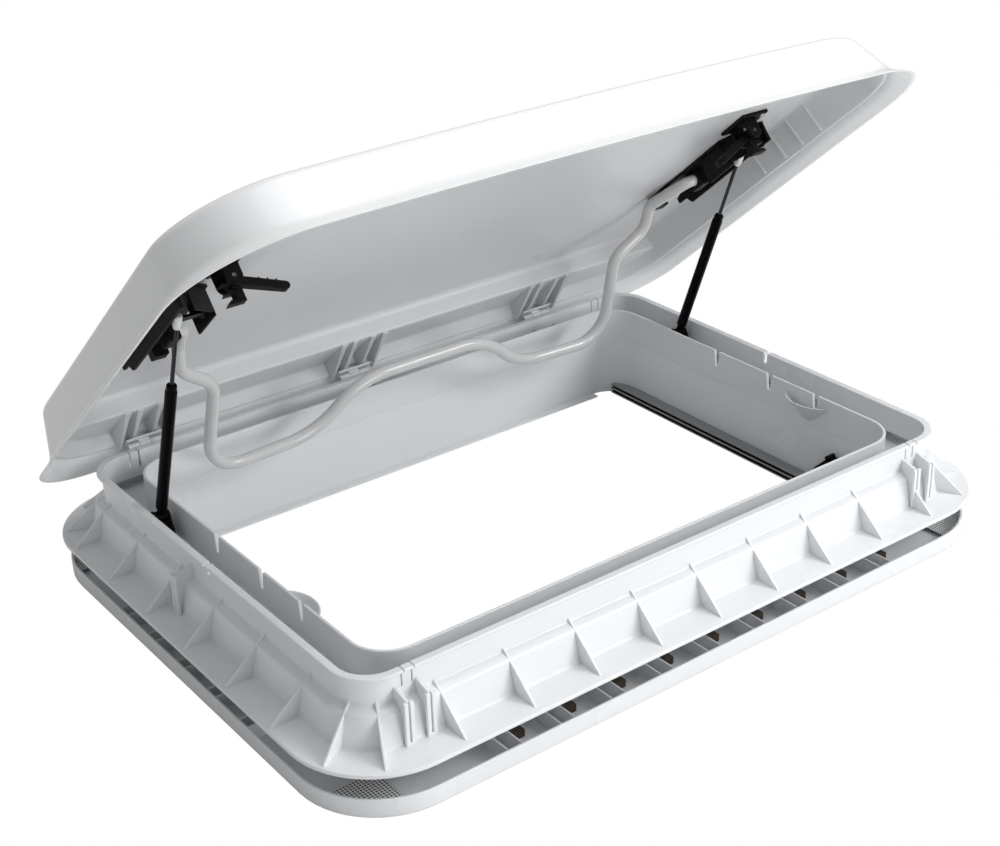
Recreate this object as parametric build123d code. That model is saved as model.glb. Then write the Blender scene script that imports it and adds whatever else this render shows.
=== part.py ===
from build123d import *
from math import atan2, cos, degrees, hypot, radians, sin
import os

os.makedirs("parts", exist_ok=True)

# Roof sunroof for a caravan: an outer frame on the roof, an inner frame on the ceiling with a
# flyscreen and a blind, and a double-skin lid that stands open on two gas struts.
# Millimetres. Z = 0 is the outer face of the roof, X runs along the long side, and the lid is
# hinged at the back (+Y). The lid is modelled closed and then turned open to its rest pose.

# Roof opening and the flange round it
cutout_x = 700.0
cutout_y = 500.0
roof_thickness = 23.0
flange_overhang = 40.0
flange_corner_r = 85.0
flange_t = 4.0
skirt_h = 15.0
skirt_t = 2.5
skirt_clear = 5.0

# Collar that stands on the flange; "out" distances are measured outward from its rim
collar_h = 65.0
rim_inset_x = 1.0
rim_inset_y = 5.0
rim_corner_r = 38.0
bead_out = 4.5
bead_h = 3.0
shoulder_top_z = 37.0
shoulder_low_z = 33.0
shoulder_out = 5.0
foot_out = 12.0
shell_t = 3.0

# Stiffening gussets round the collar
gusset_t = 2.4
gusset_top_z = 42.0
gusset_out = 38.0
gusset_pitch_x = 70.0
gusset_shift_x = 8.0
gusset_x_count = 9
gusset_pitch_y = 74.0
gusset_shift_y = 16.0
gusset_y_count = 6
corner_gusset_angles = (25.0, 64.0)

# Slotted posts and the slits in the rim beside them
post_t = 3.0
post_top_z = 50.0
post_drop = 5.0
post_out = 13.0
post_flange_w = 9.0
post_x = (289.0, 310.0)
post_y = 33.0
slit_w = 1.5
slit_depth = 18.0
slit_x = (293.0, 303.0)
side_slit_w = 5.0
side_slit_depth = 12.0

# Clear opening and the wall round it, split at the parting line
opening_inset_x = 40.0
opening_inset_y = 35.0
opening_corner_r = 35.0
inner_wall_t = 3.0
parting_z = 26.0
ring_top_z = 62.0
ring_floor_t = 2.5
ring_clear = 1.0
shelf_t = 3.0
shelf_clear = 3.0

# Notches and cups in the short sides of the inner wall
notch_y = (43.0, -37.0, -104.0)
notch_depth = 18.0
notch_w_low = 4.0
notch_w_top = 8.0
cup_y = -93.0
cup_length = 64.0
cup_reach = 17.0
cup_top_z = 53.0
cup_h = 24.0
cup_t = 2.0

# Clamp screws between the two frames
clamp_hole_r = 2.75
clamp_y = 140.0
clamp_x = 200.0
boss_r = 8.0
boss_rib_t = 3.0
tray_boss_r = 6.0
clamp_gap = 2.0

# Ceiling frame
band_inset_x = 5.0
band_inset_y = 3.0
band_t = 2.5
band_edge_r = 4.0
tray_depth = 19.5
tray_floor_t = 2.5
tray_rib_t = 1.6
tray_rib_h = 15.0
tray_rib_pair = 15.0
tray_rib_pitch = 56.0
tray_rib_x_count = 9
tray_rib_y_count = 5
back_lip_w = 10.0

# Ventilation pads and corner meshes in the tray
pad_length = 11.0
pad_w = 9.0
pad_t = 3.0
mesh_t = 1.2
mesh_rise = 3.0
mesh_reach = 62.0

# Guide rails of the screens
rail_w = 14.0
rail_h = 11.5
rail_end_gap = 10.0
groove_h = 3.2
groove_depth = 8.5
groove_base_t = 1.5
groove_split = 2.2

# Screens: bars, their end tabs and the folded packs
bar_depth = 12.0
bar_end_clear = 0.5
screen_clear = 0.3
tab_reach = 7.5
tab_length = 10.0
fly_bar_h = 5.4
blind_bar_h = 4.2
parked_in = 71.0
pleat_count = 10
pleat_t = 1.0
fly_pleat_h = 5.4
blind_pleat_h = 4.0
pack_side_clear = 2.5

# Cassette that covers the parked screens
cassette_t = 2.0
cassette_top_z = 2.0
cassette_front_t = 10.0
cassette_in = 75.0
end_cap_t = 10.0
end_cap_nose_in = 99.0
end_cap_slope = 18.0
end_cap_nose_drop = 18.0
end_cap_knob_r = 3.0

# Lid: an outer dome and an inner pan; "in" distances are measured inward from the lip
lid_open_angle = 40.5
hinge_behind_rim = 7.2
hinge_z = 62.5
hinge_in = 25.0
hinge_up = 7.0
lid_overhang_x = 14.0
lid_depth = 574.0
lid_front_bow = 14.0
lid_corner_r = 100.0
corner_follow_ratio = 0.5
flare_in = 14.0
flare_up = 10.0
wall_up = 60.0
wall_in_side = 22.0
wall_in_front = 36.0
wall_in_back = 30.0
crown_mid_in = 25.0
crown_mid_up = 4.0
crown_in = 70.0
crown_up = 6.0
dome_t = 3.0
dome_slant_t = 3.5

# Pan
pan_t = 2.5
pan_low_up = 14.0
pan_top_up = 52.0
pan_in_low = (27.0, 30.0, 27.0)
pan_in_top = (33.0, 48.0, 38.0)
bond_gap = 0.3
ledge_in = 80.0
ledge_up = 29.0
fin_t = 2.6
fin_in = 30.0
fin_slope = 18.0
fin_low_up = 16.0
fin_offsets = (-25.0, -11.0, 11.0, 26.0)
side_rib_t = 2.5
side_rib_in = (300.0, 338.0, 368.0, 400.0)

# Hinges
hinge_pitch = 250.0
hinge_shift = -29.0
knuckle_r = 4.2
knuckle_w = 12.0
knuckle_gap = 0.4
pin_r = 2.0
pin_clear = 0.05
leaf_half_w = 20.0
leaf_t = 3.0
leaf_low_z = 44.0
leaf_top_z = 60.0
lid_leaf_drop = 2.2
lid_leaf_in = (21.0, 34.0)
hinge_screw_r = 1.5
hinge_screw_head_r = 3.0
hinge_screw_head_t = 1.4
hinge_screw_x = 14.0

# Gas struts
strut_inset = 21.0
ball_in = 330.0
ball_up = 33.0
foot_behind = 127.7
foot_z = 52.0
ball_r = 4.0
ball_clear = 0.05
stud_r = 2.5
socket_r = 5.6
socket_low = 9.0
socket_high = 6.5
rod_r = 2.0
cylinder_r = 5.25
cylinder_bore_r = 4.3
cylinder_start = 12.0
cylinder_stop = 166.0
cylinder_end_t = 4.0
piston_r = 4.2
piston_l = 6.0
piston_set = 2.0
eye_r = 6.0
eye_w = 9.8
eye_hole_r = 3.0
neck_r = 4.0
fork_gap = 0.6
fork_t = 2.0
fork_half_l = 15.0
fork_base_t = 2.5

# Bow handle: half of its outline, from the rim or from the middle, and drop below the bend
bow_r = 6.3
bow_wall = 1.2
bow_tilt = 14.4
bow_pivot_in = 272.0
bow_pivot_up = 40.0
bow_bend_in = 216.0
bow_bend_up = 42.2
bow_arm_inset = 48.0
bow_insets = ((62.0, 0.0), (64.0, 30.0), (101.0, 57.0), (96.0, 167.0))
bow_waist = ((130.0, 161.0), (78.0, 111.0))
bow_radii = (10.0, 18.0, 20.0, 22.0, 28.0, 55.0, 55.0)
bush_t = 1.0
bush_insets = (40.0, 31.0)

# Strut brackets
bracket_t = 3.0
bracket_inset = 52.0
bracket_in = (204.0, 372.0)
bracket_corner_out = (19.0, 33.0)
bracket_corner_in = 39.0
bracket_web_inset = 49.0
bracket_web_in = (303.0, 346.0)
bracket_web_up = 23.0
bracket_wall_inset = 9.0
bracket_wall_t = 4.0
bracket_wall_up = 30.0
bracket_tail_in = (14.0, 20.0, 21.0)
bracket_tail_up = (38.0, 44.0)
bracket_heel_w = 15.0
bracket_heel_l = 12.0
stud_head_r = 4.5
stud_head_t = 3.0
stud_tail = 3.0
lug_half_l = 11.0
screw_r = 1.5
screw_clear = 0.05
screw_head_r = 3.4
screw_head_t = 2.0
bracket_screws_at = ((12.0, 244.0), (34.0, 262.0), (20.0, 352.0))

# Latches
latch_inset = 52.0
latch_in = 388.0
latch_up = 36.0
latch_plate_t = 3.5
latch_plate_out = (-13.0, 21.0)
latch_plate_half = 20.0
latch_ear_t = 4.0
latch_ear_half_w = 8.0
latch_gap = 0.3
latch_pin_r = 2.0
latch_hub_r = 5.5
latch_hub_w = 18.0
lever_w = 10.0
lever_t = 8.5
lever_tip = (-49.0, -19.0)
comb_w = 8.0
comb_drop = 21.0
hook_reach = 9.0
hook_t = 3.5
hook_count = 3
hook_pitch = 9.0
latch_screw_out = 15.0
latch_screw_in = 15.0

# Screws that hold the inner ring on its shelf
ring_screw_r = 1.5
ring_screw_head_r = 3.2
ring_screw_head_t = 2.0
ring_screw_x = 120.0
ring_screw_y = 60.0

# Worked out from the sizes above
flange_x = cutout_x / 2 + flange_overhang
flange_y = cutout_y / 2 + flange_overhang
rim_x = cutout_x / 2 - rim_inset_x
rim_y = cutout_y / 2 - rim_inset_y
open_x = cutout_x / 2 - opening_inset_x
open_y = cutout_y / 2 - opening_inset_y
skirt_x = cutout_x / 2 - skirt_clear
skirt_y = cutout_y / 2 - skirt_clear
skirt_corner_r = rim_corner_r
boss_x = (open_x + inner_wall_t + skirt_x - skirt_t) / 2
boss_y = (open_y + inner_wall_t + skirt_y - skirt_t) / 2
band_top_z = -roof_thickness
tray_low_z = band_top_z - tray_depth
tray_floor_z = tray_low_z + tray_floor_t
band_x = flange_x - band_inset_x
band_y = flange_y - band_inset_y
band_corner_r = flange_corner_r - band_inset_y
ring_floor_z = parting_z + ring_floor_t
rail_top_z = tray_low_z + rail_h
hinge_y = rim_y + hinge_behind_rim
lip_y = hinge_y + hinge_in
lip_z = hinge_z - hinge_up
lid_half_x = flange_x + lid_overhang_x
parked_y = -open_y + parked_in
cassette_edge_y = -open_y + cassette_in
strut_x = rim_x - strut_inset
foot_y = hinge_y - foot_behind
bracket_x = rim_x - bracket_inset
bracket_web_x = rim_x - bracket_web_inset
bracket_wall_x = rim_x - bracket_wall_inset
bush_x = [rim_x - inset for inset in bush_insets]
latch_x = rim_x - latch_inset
HINGE = Axis((0, hinge_y, hinge_z), (1, 0, 0))


def box(x0, x1, y0, y1, z0, z1):
    """A box given by the places of its six faces."""
    middle = Pos((x0 + x1) / 2, (y0 + y1) / 2, (z0 + z1) / 2)
    return middle * Box(abs(x1 - x0), abs(y1 - y0), abs(z1 - z0))


def plate(points, thickness, direction):
    """A flat polygon through 3-D points, thickened along a direction."""
    return extrude(Face(Wire.make_polygon(points)), thickness, dir=direction)


def rod(start, end, radius):
    """A round bar between two points."""
    axis = Vector(*end) - Vector(*start)
    return Plane(origin=start, z_dir=axis) * extrude(Circle(radius), axis.length)


def mirrored(shape):
    """The same piece on the other side of the part."""
    return mirror(shape, about=Plane.YZ)


def rounded_prism(half_x, half_y, radius, z0, z1):
    """An upright block with rounded corners, centred on the part."""
    return Pos(0, 0, z0) * extrude(RectangleRounded(2 * half_x, 2 * half_y, radius), z1 - z0)


def rim_prism(out, z0, z1):
    """An upright block whose edge lies a distance out from the collar's rim."""
    return rounded_prism(rim_x + out, rim_y + out, rim_corner_r + out, z0, z1)


def rim_taper(out0, z0, out1, z1):
    """A tapering block between two outlines that follow the collar's rim."""
    faces = []
    for out, z in ((out0, z0), (out1, z1)):
        outline = RectangleRounded(2 * (rim_x + out), 2 * (rim_y + out), rim_corner_r + out)
        faces.append(Pos(0, 0, z) * outline)
    return loft(faces, ruled=True)


def opening_prism(out, z0, z1):
    """An upright block whose edge lies a distance out from the clear opening."""
    return rounded_prism(open_x + out, open_y + out, opening_corner_r + out, z0, z1)


def collar_block(inset, top_z):
    """The collar as a solid block, drawn in evenly by an inset."""
    bead_z = collar_h - bead_h
    block = rim_taper(foot_out - inset, flange_t, shoulder_out - inset, shoulder_low_z)
    block += rim_taper(shoulder_out - inset, shoulder_low_z, -bead_out - inset, shoulder_top_z)
    block += rim_prism(-bead_out - inset, shoulder_top_z, top_z)
    if inset == 0:
        block += rim_prism(0, bead_z, collar_h)
    return block


def on_each_side(piece, xs, ys):
    """A piece drawn outward from the rim along +X, repeated along the four sides."""
    pieces = []
    for x in xs:
        pieces.append(Pos(x, -rim_y, 0) * Rot(0, 0, -90) * piece)
        pieces.append(Pos(x, rim_y, 0) * Rot(0, 0, 90) * piece)
    for y in ys:
        pieces.append(Pos(rim_x, y, 0) * piece)
        pieces.append(Pos(-rim_x, y, 0) * Rot(0, 0, 180) * piece)
    return pieces


def spaced(count, pitch, shift=0.0):
    """Evenly spaced places about a middle."""
    return [shift + (i - (count - 1) / 2) * pitch for i in range(count)]


def gussets():
    """Triangular webs between the collar and the flange, on the sides and at the corners."""
    root = -bead_out - shell_t / 2
    low = flange_t / 2
    profile = [(root, 0, gusset_top_z), (gusset_out, 0, flange_t), (gusset_out, 0, low), (root, 0, low)]
    web = Pos(0, -gusset_t / 2, 0) * plate(profile, gusset_t, (0, 1, 0))
    xs = spaced(gusset_x_count, gusset_pitch_x, gusset_shift_x)
    ys = spaced(gusset_y_count, gusset_pitch_y, gusset_shift_y)
    webs = on_each_side(web, xs, ys)
    centre_x = rim_x - rim_corner_r
    centre_y = rim_y - rim_corner_r
    for side_x, side_y in ((1, 1), (-1, 1), (-1, -1), (1, -1)):
        for angle in corner_gusset_angles:
            turn = degrees(atan2(side_y * sin(radians(angle)), side_x * cos(radians(angle))))
            corner = Pos(side_x * centre_x, side_y * centre_y, 0) * Rot(0, 0, turn)
            webs.append(corner * Pos(rim_corner_r, 0, 0) * web)
    return webs


def posts():
    """Slotted T-shaped posts beside the front corners and on the short sides."""
    root = -bead_out - shell_t / 2
    low = flange_t / 2
    low_top_z = post_top_z - post_drop
    profile = [(root, 0, post_top_z), (post_out, 0, low_top_z), (post_out, 0, low), (root, 0, low)]
    web = Pos(0, -post_t / 2, 0) * plate(profile, post_t, (0, 1, 0))
    head = box(post_out, post_out + post_t, -post_flange_w / 2, post_flange_w / 2, low, low_top_z)
    slot_end = post_out + post_t + 1
    slot = box(post_out - 1, slot_end, -slit_w / 2, slit_w / 2, flange_t + post_t, low_top_z + 1)
    post = web + (head - slot)
    placed = [Pos(side * x, -rim_y, 0) * Rot(0, 0, -90) * post for x in post_x for side in (-1, 1)]
    return placed + on_each_side(post, [], [post_y])


def rim_slits():
    """Saw cuts in the top of the collar."""
    across = bead_out + shell_t + 1
    cut = box(-across, 1, -slit_w / 2, slit_w / 2, collar_h - slit_depth, collar_h + 1)
    wide = box(-across, 1, -side_slit_w / 2, side_slit_w / 2, collar_h - side_slit_depth, collar_h + 1)
    xs = [side * x for x in slit_x for side in (-1, 1)]
    return on_each_side(cut, xs, []) + on_each_side(wide, [], [0.0])


def clamp_points():
    """Places of the eight screws that draw the ceiling frame up against the roof."""
    sides = [(sx * boss_x, sy * clamp_y) for sx in (-1, 1) for sy in (-1, 1)]
    ends = [(sx * clamp_x, sy * boss_y) for sx in (-1, 1) for sy in (-1, 1)]
    return sides + ends


def upright_holes(points, radius, z0, z1):
    """Round holes through a plate at a list of places."""
    return [Pos(x, y, z0) * extrude(Circle(radius), z1 - z0) for x, y in points]


def ring_screw_points():
    """Places of the screws that hold the inner ring, in the middle of its floor."""
    middle_x = (open_x + inner_wall_t + rim_x - bead_out - shell_t) / 2
    middle_y = (open_y + inner_wall_t + rim_y - bead_out - shell_t) / 2
    sides = [(sx * middle_x, sy * ring_screw_y) for sx in (-1, 1) for sy in (-1, 1)]
    ends = [(sx * ring_screw_x, sy * middle_y) for sx in (-1, 1) for sy in (-1, 1)]
    return sides + ends


def hinge_places():
    """Middle of each of the three hinges along X."""
    return spaced(3, hinge_pitch, hinge_shift)


def roof_frame():
    """Outer frame: flange, collar with gussets, skirt, shelf and clamp bosses, in one moulding."""
    body = rounded_prism(flange_x, flange_y, flange_corner_r, 0, flange_t)
    body += collar_block(0, collar_h)
    body += gussets()
    body += posts()
    body -= collar_block(shell_t, collar_h + 1)
    body -= rounded_prism(skirt_x - skirt_t, skirt_y - skirt_t, skirt_corner_r - skirt_t, -1, flange_t + 1)
    skirt = rounded_prism(skirt_x, skirt_y, skirt_corner_r, -skirt_h, flange_t)
    inner_r = skirt_corner_r - skirt_t
    skirt -= rounded_prism(skirt_x - skirt_t, skirt_y - skirt_t, inner_r, -skirt_h - 1, flange_t + 1)
    body += skirt
    into_wall = (foot_out + shoulder_out) / 2 - shell_t
    shelf = rim_prism(into_wall, parting_z - shelf_t, parting_z)
    shelf -= opening_prism(inner_wall_t + shelf_clear, parting_z - shelf_t - 1, parting_z + 1)
    body += shelf
    for x, y in clamp_points():
        body += Pos(x, y, -skirt_h) * extrude(Circle(boss_r), parting_z + skirt_h)
        if abs(x) == boss_x:
            reach = (skirt_x - skirt_t / 2) * x / abs(x)
            body += box(x, reach, y - boss_rib_t / 2, y + boss_rib_t / 2, -skirt_h, parting_z - shelf_t)
        else:
            reach = (skirt_y - skirt_t / 2) * y / abs(y)
            body += box(x - boss_rib_t / 2, x + boss_rib_t / 2, y, reach, -skirt_h, parting_z - shelf_t)
    body -= upright_holes(clamp_points(), clamp_hole_r, -skirt_h - 1, parting_z + 1)
    body -= upright_holes(ring_screw_points(), ring_screw_r, parting_z - shelf_t - 1, parting_z + 1)
    body -= rim_slits()
    for x, y, z in frame_leaf_screws():
        body -= rod((x, rim_y - bead_out - shell_t - 1, z), (x, rim_y, z), hinge_screw_r)
    return body


def channel_ring():
    """Inner ring: the upper part of the wall round the opening and the floor of the gutter."""
    outer_x = rim_x - bead_out - shell_t - ring_clear
    outer_y = rim_y - bead_out - shell_t - ring_clear
    outer_r = rim_corner_r - bead_out - shell_t - ring_clear
    body = opening_prism(inner_wall_t, parting_z, ring_top_z)
    body += rounded_prism(outer_x, outer_y, outer_r, parting_z, ring_floor_z)
    body -= opening_prism(0, parting_z - 1, ring_top_z + 1)
    wall_x = open_x + inner_wall_t
    low_z = ring_top_z - notch_depth
    for y in notch_y:
        low = notch_w_low / 2
        top = notch_w_top / 2
        outline = [(open_x - 1, y - low, low_z), (open_x - 1, y + low, low_z)]
        outline += [(open_x - 1, y + top, ring_top_z + 1), (open_x - 1, y - top, ring_top_z + 1)]
        notch = plate(outline, inner_wall_t + 2, (1, 0, 0))
        body -= [notch, mirrored(notch)]
    body += [cup(wall_x), mirrored(cup(wall_x))]
    body -= upright_holes(clamp_points(), clamp_hole_r, parting_z - 1, ring_floor_z + 1)
    body -= upright_holes(ring_screw_points(), ring_screw_r + screw_clear, parting_z - 1, ring_floor_z + 1)
    return body


def cup(wall_x):
    """Half-round cup on the inner face of a short side: a cone whose chord lies in the wall."""
    cup_r = ((cup_length / 2) ** 2 + cup_reach ** 2) / (2 * cup_reach)
    centre_x = open_x - cup_reach + cup_r
    low_z = cup_top_z - cup_h
    shell = Pos(centre_x, cup_y, cup_top_z - cup_h / 2) * Cone(cup_r - cup_reach, cup_r, cup_h)
    hollow = Pos(centre_x, cup_y, cup_top_z - cup_h / 2 + cup_t)
    hollow = hollow * Cone(cup_r - cup_reach - cup_t, cup_r - cup_t, cup_h)
    side = box(open_x - cup_reach - 1, open_x + inner_wall_t / 2, cup_y - cup_length, cup_y + cup_length,
               low_z - 1, cup_top_z + 1)
    return (shell & side) - (hollow & box(open_x - cup_reach - 1, open_x, cup_y - cup_length,
                                          cup_y + cup_length, low_z, cup_top_z + 2))


def ring_screws():
    """Pan-head screws through the gutter floor into the shelf."""
    screws = []
    for x, y in ring_screw_points():
        shank = rod((x, y, parting_z - shelf_t), (x, y, ring_floor_z), ring_screw_r)
        head = rod((x, y, ring_floor_z), (x, y, ring_floor_z + ring_screw_head_t), ring_screw_head_r)
        screws.append(shank + head)
    return Compound(screws)


def tray_rib_places(count):
    """Places of the rib pairs along one side."""
    places = []
    for middle in spaced(count, tray_rib_pitch):
        places += [middle - tray_rib_pair / 2, middle + tray_rib_pair / 2]
    return places


def ceiling_frame():
    """Inner frame: outer band, ribbed tray and the lower part of the wall round the opening."""
    body = rounded_prism(band_x, band_y, band_corner_r, tray_low_z, band_top_z)
    body = fillet(body.faces().sort_by(Axis.Z)[0].edges(), band_edge_r)
    inner = (band_x - band_t, band_y - band_t, band_corner_r - band_t)
    body -= rounded_prism(*inner, tray_floor_z, band_top_z + 1)
    body += opening_prism(inner_wall_t, tray_low_z, parting_z)
    body -= opening_prism(0, tray_low_z - 1, parting_z + 1)
    top_z = tray_floor_z + tray_rib_h
    half_t = tray_rib_t / 2
    for x in tray_rib_places(tray_rib_x_count):
        for side in (-1, 1):
            y0 = side * (open_y + inner_wall_t / 2)
            y1 = side * (band_y - band_t / 2)
            body += box(x - half_t, x + half_t, y0, y1, tray_floor_z - 1, top_z)
    for y in tray_rib_places(tray_rib_y_count):
        for side in (-1, 1):
            x0 = side * (open_x + inner_wall_t / 2)
            x1 = side * (band_x - band_t / 2)
            body += box(x0, x1, y - half_t, y + half_t, tray_floor_z - 1, top_z)
    boss_top_z = -skirt_h - clamp_gap
    for boss in upright_holes(clamp_points(), tray_boss_r, tray_floor_z - 1, boss_top_z):
        body += boss
    body -= upright_holes(clamp_points(), clamp_hole_r, tray_low_z - 1, boss_top_z + 1)
    inset = opening_corner_r
    lip = box(-open_x + inset, open_x - inset, open_y - back_lip_w, open_y + 1, tray_low_z, tray_floor_z)
    return body + lip


def vent_pads():
    """Dark pads on the tray floor between the ribs of each pair, beside the band."""
    pads = []
    half = pad_length / 2
    top_z = tray_floor_z + pad_t
    for x in spaced(tray_rib_x_count, tray_rib_pitch):
        for side in (-1, 1):
            y1 = side * (band_y - band_t)
            pads.append(box(x - half, x + half, y1 - side * pad_w, y1, tray_floor_z, top_z))
    for y in spaced(tray_rib_y_count, tray_rib_pitch):
        for side in (-1, 1):
            x1 = side * (band_x - band_t)
            pads.append(box(x1 - side * pad_w, x1, y - half, y + half, tray_floor_z, top_z))
    return Compound(pads)


def corner_mesh():
    """Perforated plates that cover the four corners of the tray, on feet."""
    low_z = tray_floor_z + mesh_rise
    cover = rounded_prism(band_x - band_t, band_y - band_t, band_corner_r - band_t, low_z, low_z + mesh_t)
    cover -= opening_prism(inner_wall_t, low_z - 1, low_z + mesh_t + 1)
    meshes = []
    for side_x in (-1, 1):
        for side_y in (-1, 1):
            x1 = side_x * (band_x + 1)
            y1 = side_y * (band_y + 1)
            x0 = side_x * (band_x - mesh_reach)
            y0 = side_y * (band_y - mesh_reach)
            corner = cover & box(x0, x1, y0, y1, low_z - 1, low_z + mesh_t + 1)
            foot_x = side_x * (band_x - mesh_reach / 2)
            foot_y = side_y * (band_y - mesh_reach / 2)
            corner += rod((foot_x, foot_y, tray_floor_z), (foot_x, foot_y, low_z), tray_boss_r / 2)
            meshes.append(corner)
    return Compound(meshes)


def groove_levels():
    """Low and high face of the lower (blind) and the upper (flyscreen) groove."""
    low = tray_low_z + groove_base_t
    high = low + groove_h + groove_split
    return (low, low + groove_h), (high, high + groove_h)


def rail_right():
    """Guide rail on the right side wall, with a groove for each screen."""
    x0 = open_x - rail_w
    y1 = open_y - rail_end_gap
    rail = box(x0, open_x, -y1, y1, tray_low_z, rail_top_z)
    for low, high in groove_levels():
        rail -= box(x0 - 1, x0 + groove_depth, -y1 - 1, y1 + 1, low, high)
    return rail & opening_prism(0, tray_low_z - 1, rail_top_z + 1)


def screen_bar(level, height):
    """Pull bar of a screen, with an end tab that runs in each rail."""
    low, high = level
    middle = (low + high) / 2
    half_x = open_x - rail_w - bar_end_clear
    half_d = bar_depth / 2
    half_h = height / 2
    bar = box(-half_x, half_x, parked_y - half_d, parked_y + half_d, middle - half_h, middle + half_h)
    half_l = tab_length / 2
    tab_x = open_x - rail_w + tab_reach
    bar += box(-tab_x, tab_x, parked_y - half_l, parked_y + half_l, low + screen_clear, high - screen_clear)
    return bar


def screen_pack(level, height):
    """Folded cloth between the cassette and the parked bar: one zigzag strip."""
    middle = sum(level) / 2
    y0 = -open_y + cassette_front_t + screen_clear
    y1 = parked_y - bar_depth / 2 - screen_clear
    step = (y1 - y0) / (2 * pleat_count)
    half_x = open_x - rail_w - pack_side_clear
    under = []
    for i in range(2 * pleat_count + 1):
        z = middle - height / 2 if i % 2 else middle + height / 2 - pleat_t
        under.append((-half_x, y0 + i * step, z))
    over = [(x, y, z + pleat_t) for x, y, z in reversed(under)]
    return plate(under + over, 2 * half_x, (1, 0, 0))


def cassette_cover():
    """Cover over the parked screens, with the strip that holds their fixed ends."""
    y0 = -open_y
    half_x = open_x - end_cap_t
    cover = box(-half_x, half_x, y0, cassette_edge_y, cassette_top_z - cassette_t, cassette_top_z)
    cover += box(-half_x, half_x, y0, y0 + cassette_front_t, tray_low_z, cassette_top_z)
    cover += box(-half_x, half_x, cassette_edge_y - cassette_t, cassette_edge_y,
                 cassette_top_z - end_cap_t, cassette_top_z)
    return cover & opening_prism(0, tray_low_z - 1, cassette_top_z + 1)


def end_cap_right():
    """Black end cap of the cassette, on the guide rail, with a sloping nose and a round knob."""
    x0 = open_x - end_cap_t
    nose = -open_y + end_cap_nose_in
    top_z = cassette_top_z + 1
    slope_y = nose - end_cap_slope
    nose_z = top_z - end_cap_nose_drop
    outline = [(x0, -open_y, rail_top_z), (x0, nose, rail_top_z), (x0, nose, nose_z)]
    outline += [(x0, slope_y, top_z), (x0, -open_y, top_z)]
    cap = plate(outline, end_cap_t, (1, 0, 0))
    cap += rod((x0, slope_y, top_z), (open_x, slope_y, top_z), end_cap_knob_r)
    return cap & opening_prism(0, rail_top_z - 1, top_z + end_cap_knob_r + 1)


def lid_outline(ins, up):
    """Outline of the lid at a height above the lip, drawn in at the side, front and back."""
    side, front, back = ins
    x = lid_half_x - side
    y_back = lip_y - back
    y_front = lip_y - lid_depth + front
    corners = [(-x, y_back), (x, y_back), (x, y_front), (-x, y_front)]
    edges = [Line(corners[0], corners[1]), Line(corners[1], corners[2])]
    edges.append(ThreePointArc(corners[2], (0, y_front - lid_front_bow), corners[3]))
    edges.append(Line(corners[3], corners[0]))
    face = make_face(edges)
    face = fillet(face.vertices(), lid_corner_r - corner_follow_ratio * side)
    return Pos(0, 0, lip_z + up) * face


def lid_block(levels):
    """A solid block through a list of lid outlines."""
    block = None
    for low, high in zip(levels, levels[1:]):
        piece = loft([lid_outline(*low), lid_outline(*high)], ruled=True)
        block = piece if block is None else block + piece
    return block


def drawn_in(ins, more):
    """Three insets, each drawn in by the same amount more."""
    return tuple(value + more for value in ins)


def lid_box(x0, x1, in0, in1, up0, up1):
    """A box given in the lid's own distances: across, in from the back lip, and up."""
    return box(x0, x1, lip_y - in1, lip_y - in0, lip_z + up0, lip_z + up1)


def lid_web(points, x0, x1):
    """A web in the lid given by (in, up) points, between two places across."""
    outline = [(x0, lip_y - distance, lip_z + up) for distance, up in points]
    return plate(outline, x1 - x0, (1, 0, 0))


def opened(shape):
    """Turn a piece of the closed lid to the open rest pose."""
    return shape.rotate(HINGE, -lid_open_angle)


def lid_point(x, distance, up):
    """A point of the lid in the open rest pose."""
    y = hinge_in - distance
    z = up - hinge_up
    turn = radians(-lid_open_angle)
    return (x, hinge_y + y * cos(turn) - z * sin(turn), hinge_z + y * sin(turn) + z * cos(turn))


wall_ins = (wall_in_side, wall_in_front, wall_in_back)
dome_levels = [
    ((0.0, 0.0, 0.0), 0.0),
    ((flare_in, flare_in, flare_in), flare_up),
    (wall_ins, wall_up),
    (drawn_in(wall_ins, crown_mid_in), wall_up + crown_mid_up),
    (drawn_in(wall_ins, crown_in), wall_up + crown_up),
]


def dome_inside_levels():
    """Levels of the hollow in the dome."""
    levels = []
    for number, (ins, up) in enumerate(dome_levels):
        drop = dome_t if number > 1 else 0.0
        levels.append((drawn_in(ins, dome_slant_t), up - drop))
    return levels


def lid_dome():
    """Outer skin: flared lip, drawn-in walls and a low crown."""
    inside = dome_inside_levels()
    below = ((dome_slant_t, dome_slant_t, dome_slant_t), -1.0)
    return lid_block(dome_levels) - lid_block([below] + inside)


def dome_inside_ins(up):
    """Insets of the dome's inner face at a height on its wall."""
    (low_ins, low_up), (top_ins, top_up) = dome_inside_levels()[1:3]
    share = (up - low_up) / (top_up - low_up)
    return tuple(low + (top - low) * share for low, top in zip(low_ins, top_ins))


def pan_hollow(more, low_up, top_up):
    """Space under the pan, grown evenly, from one height to another."""
    low = (drawn_in(pan_in_low, -more), low_up)
    top = (drawn_in(pan_in_top, -more), top_up)
    return lid_block([low, top])


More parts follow.
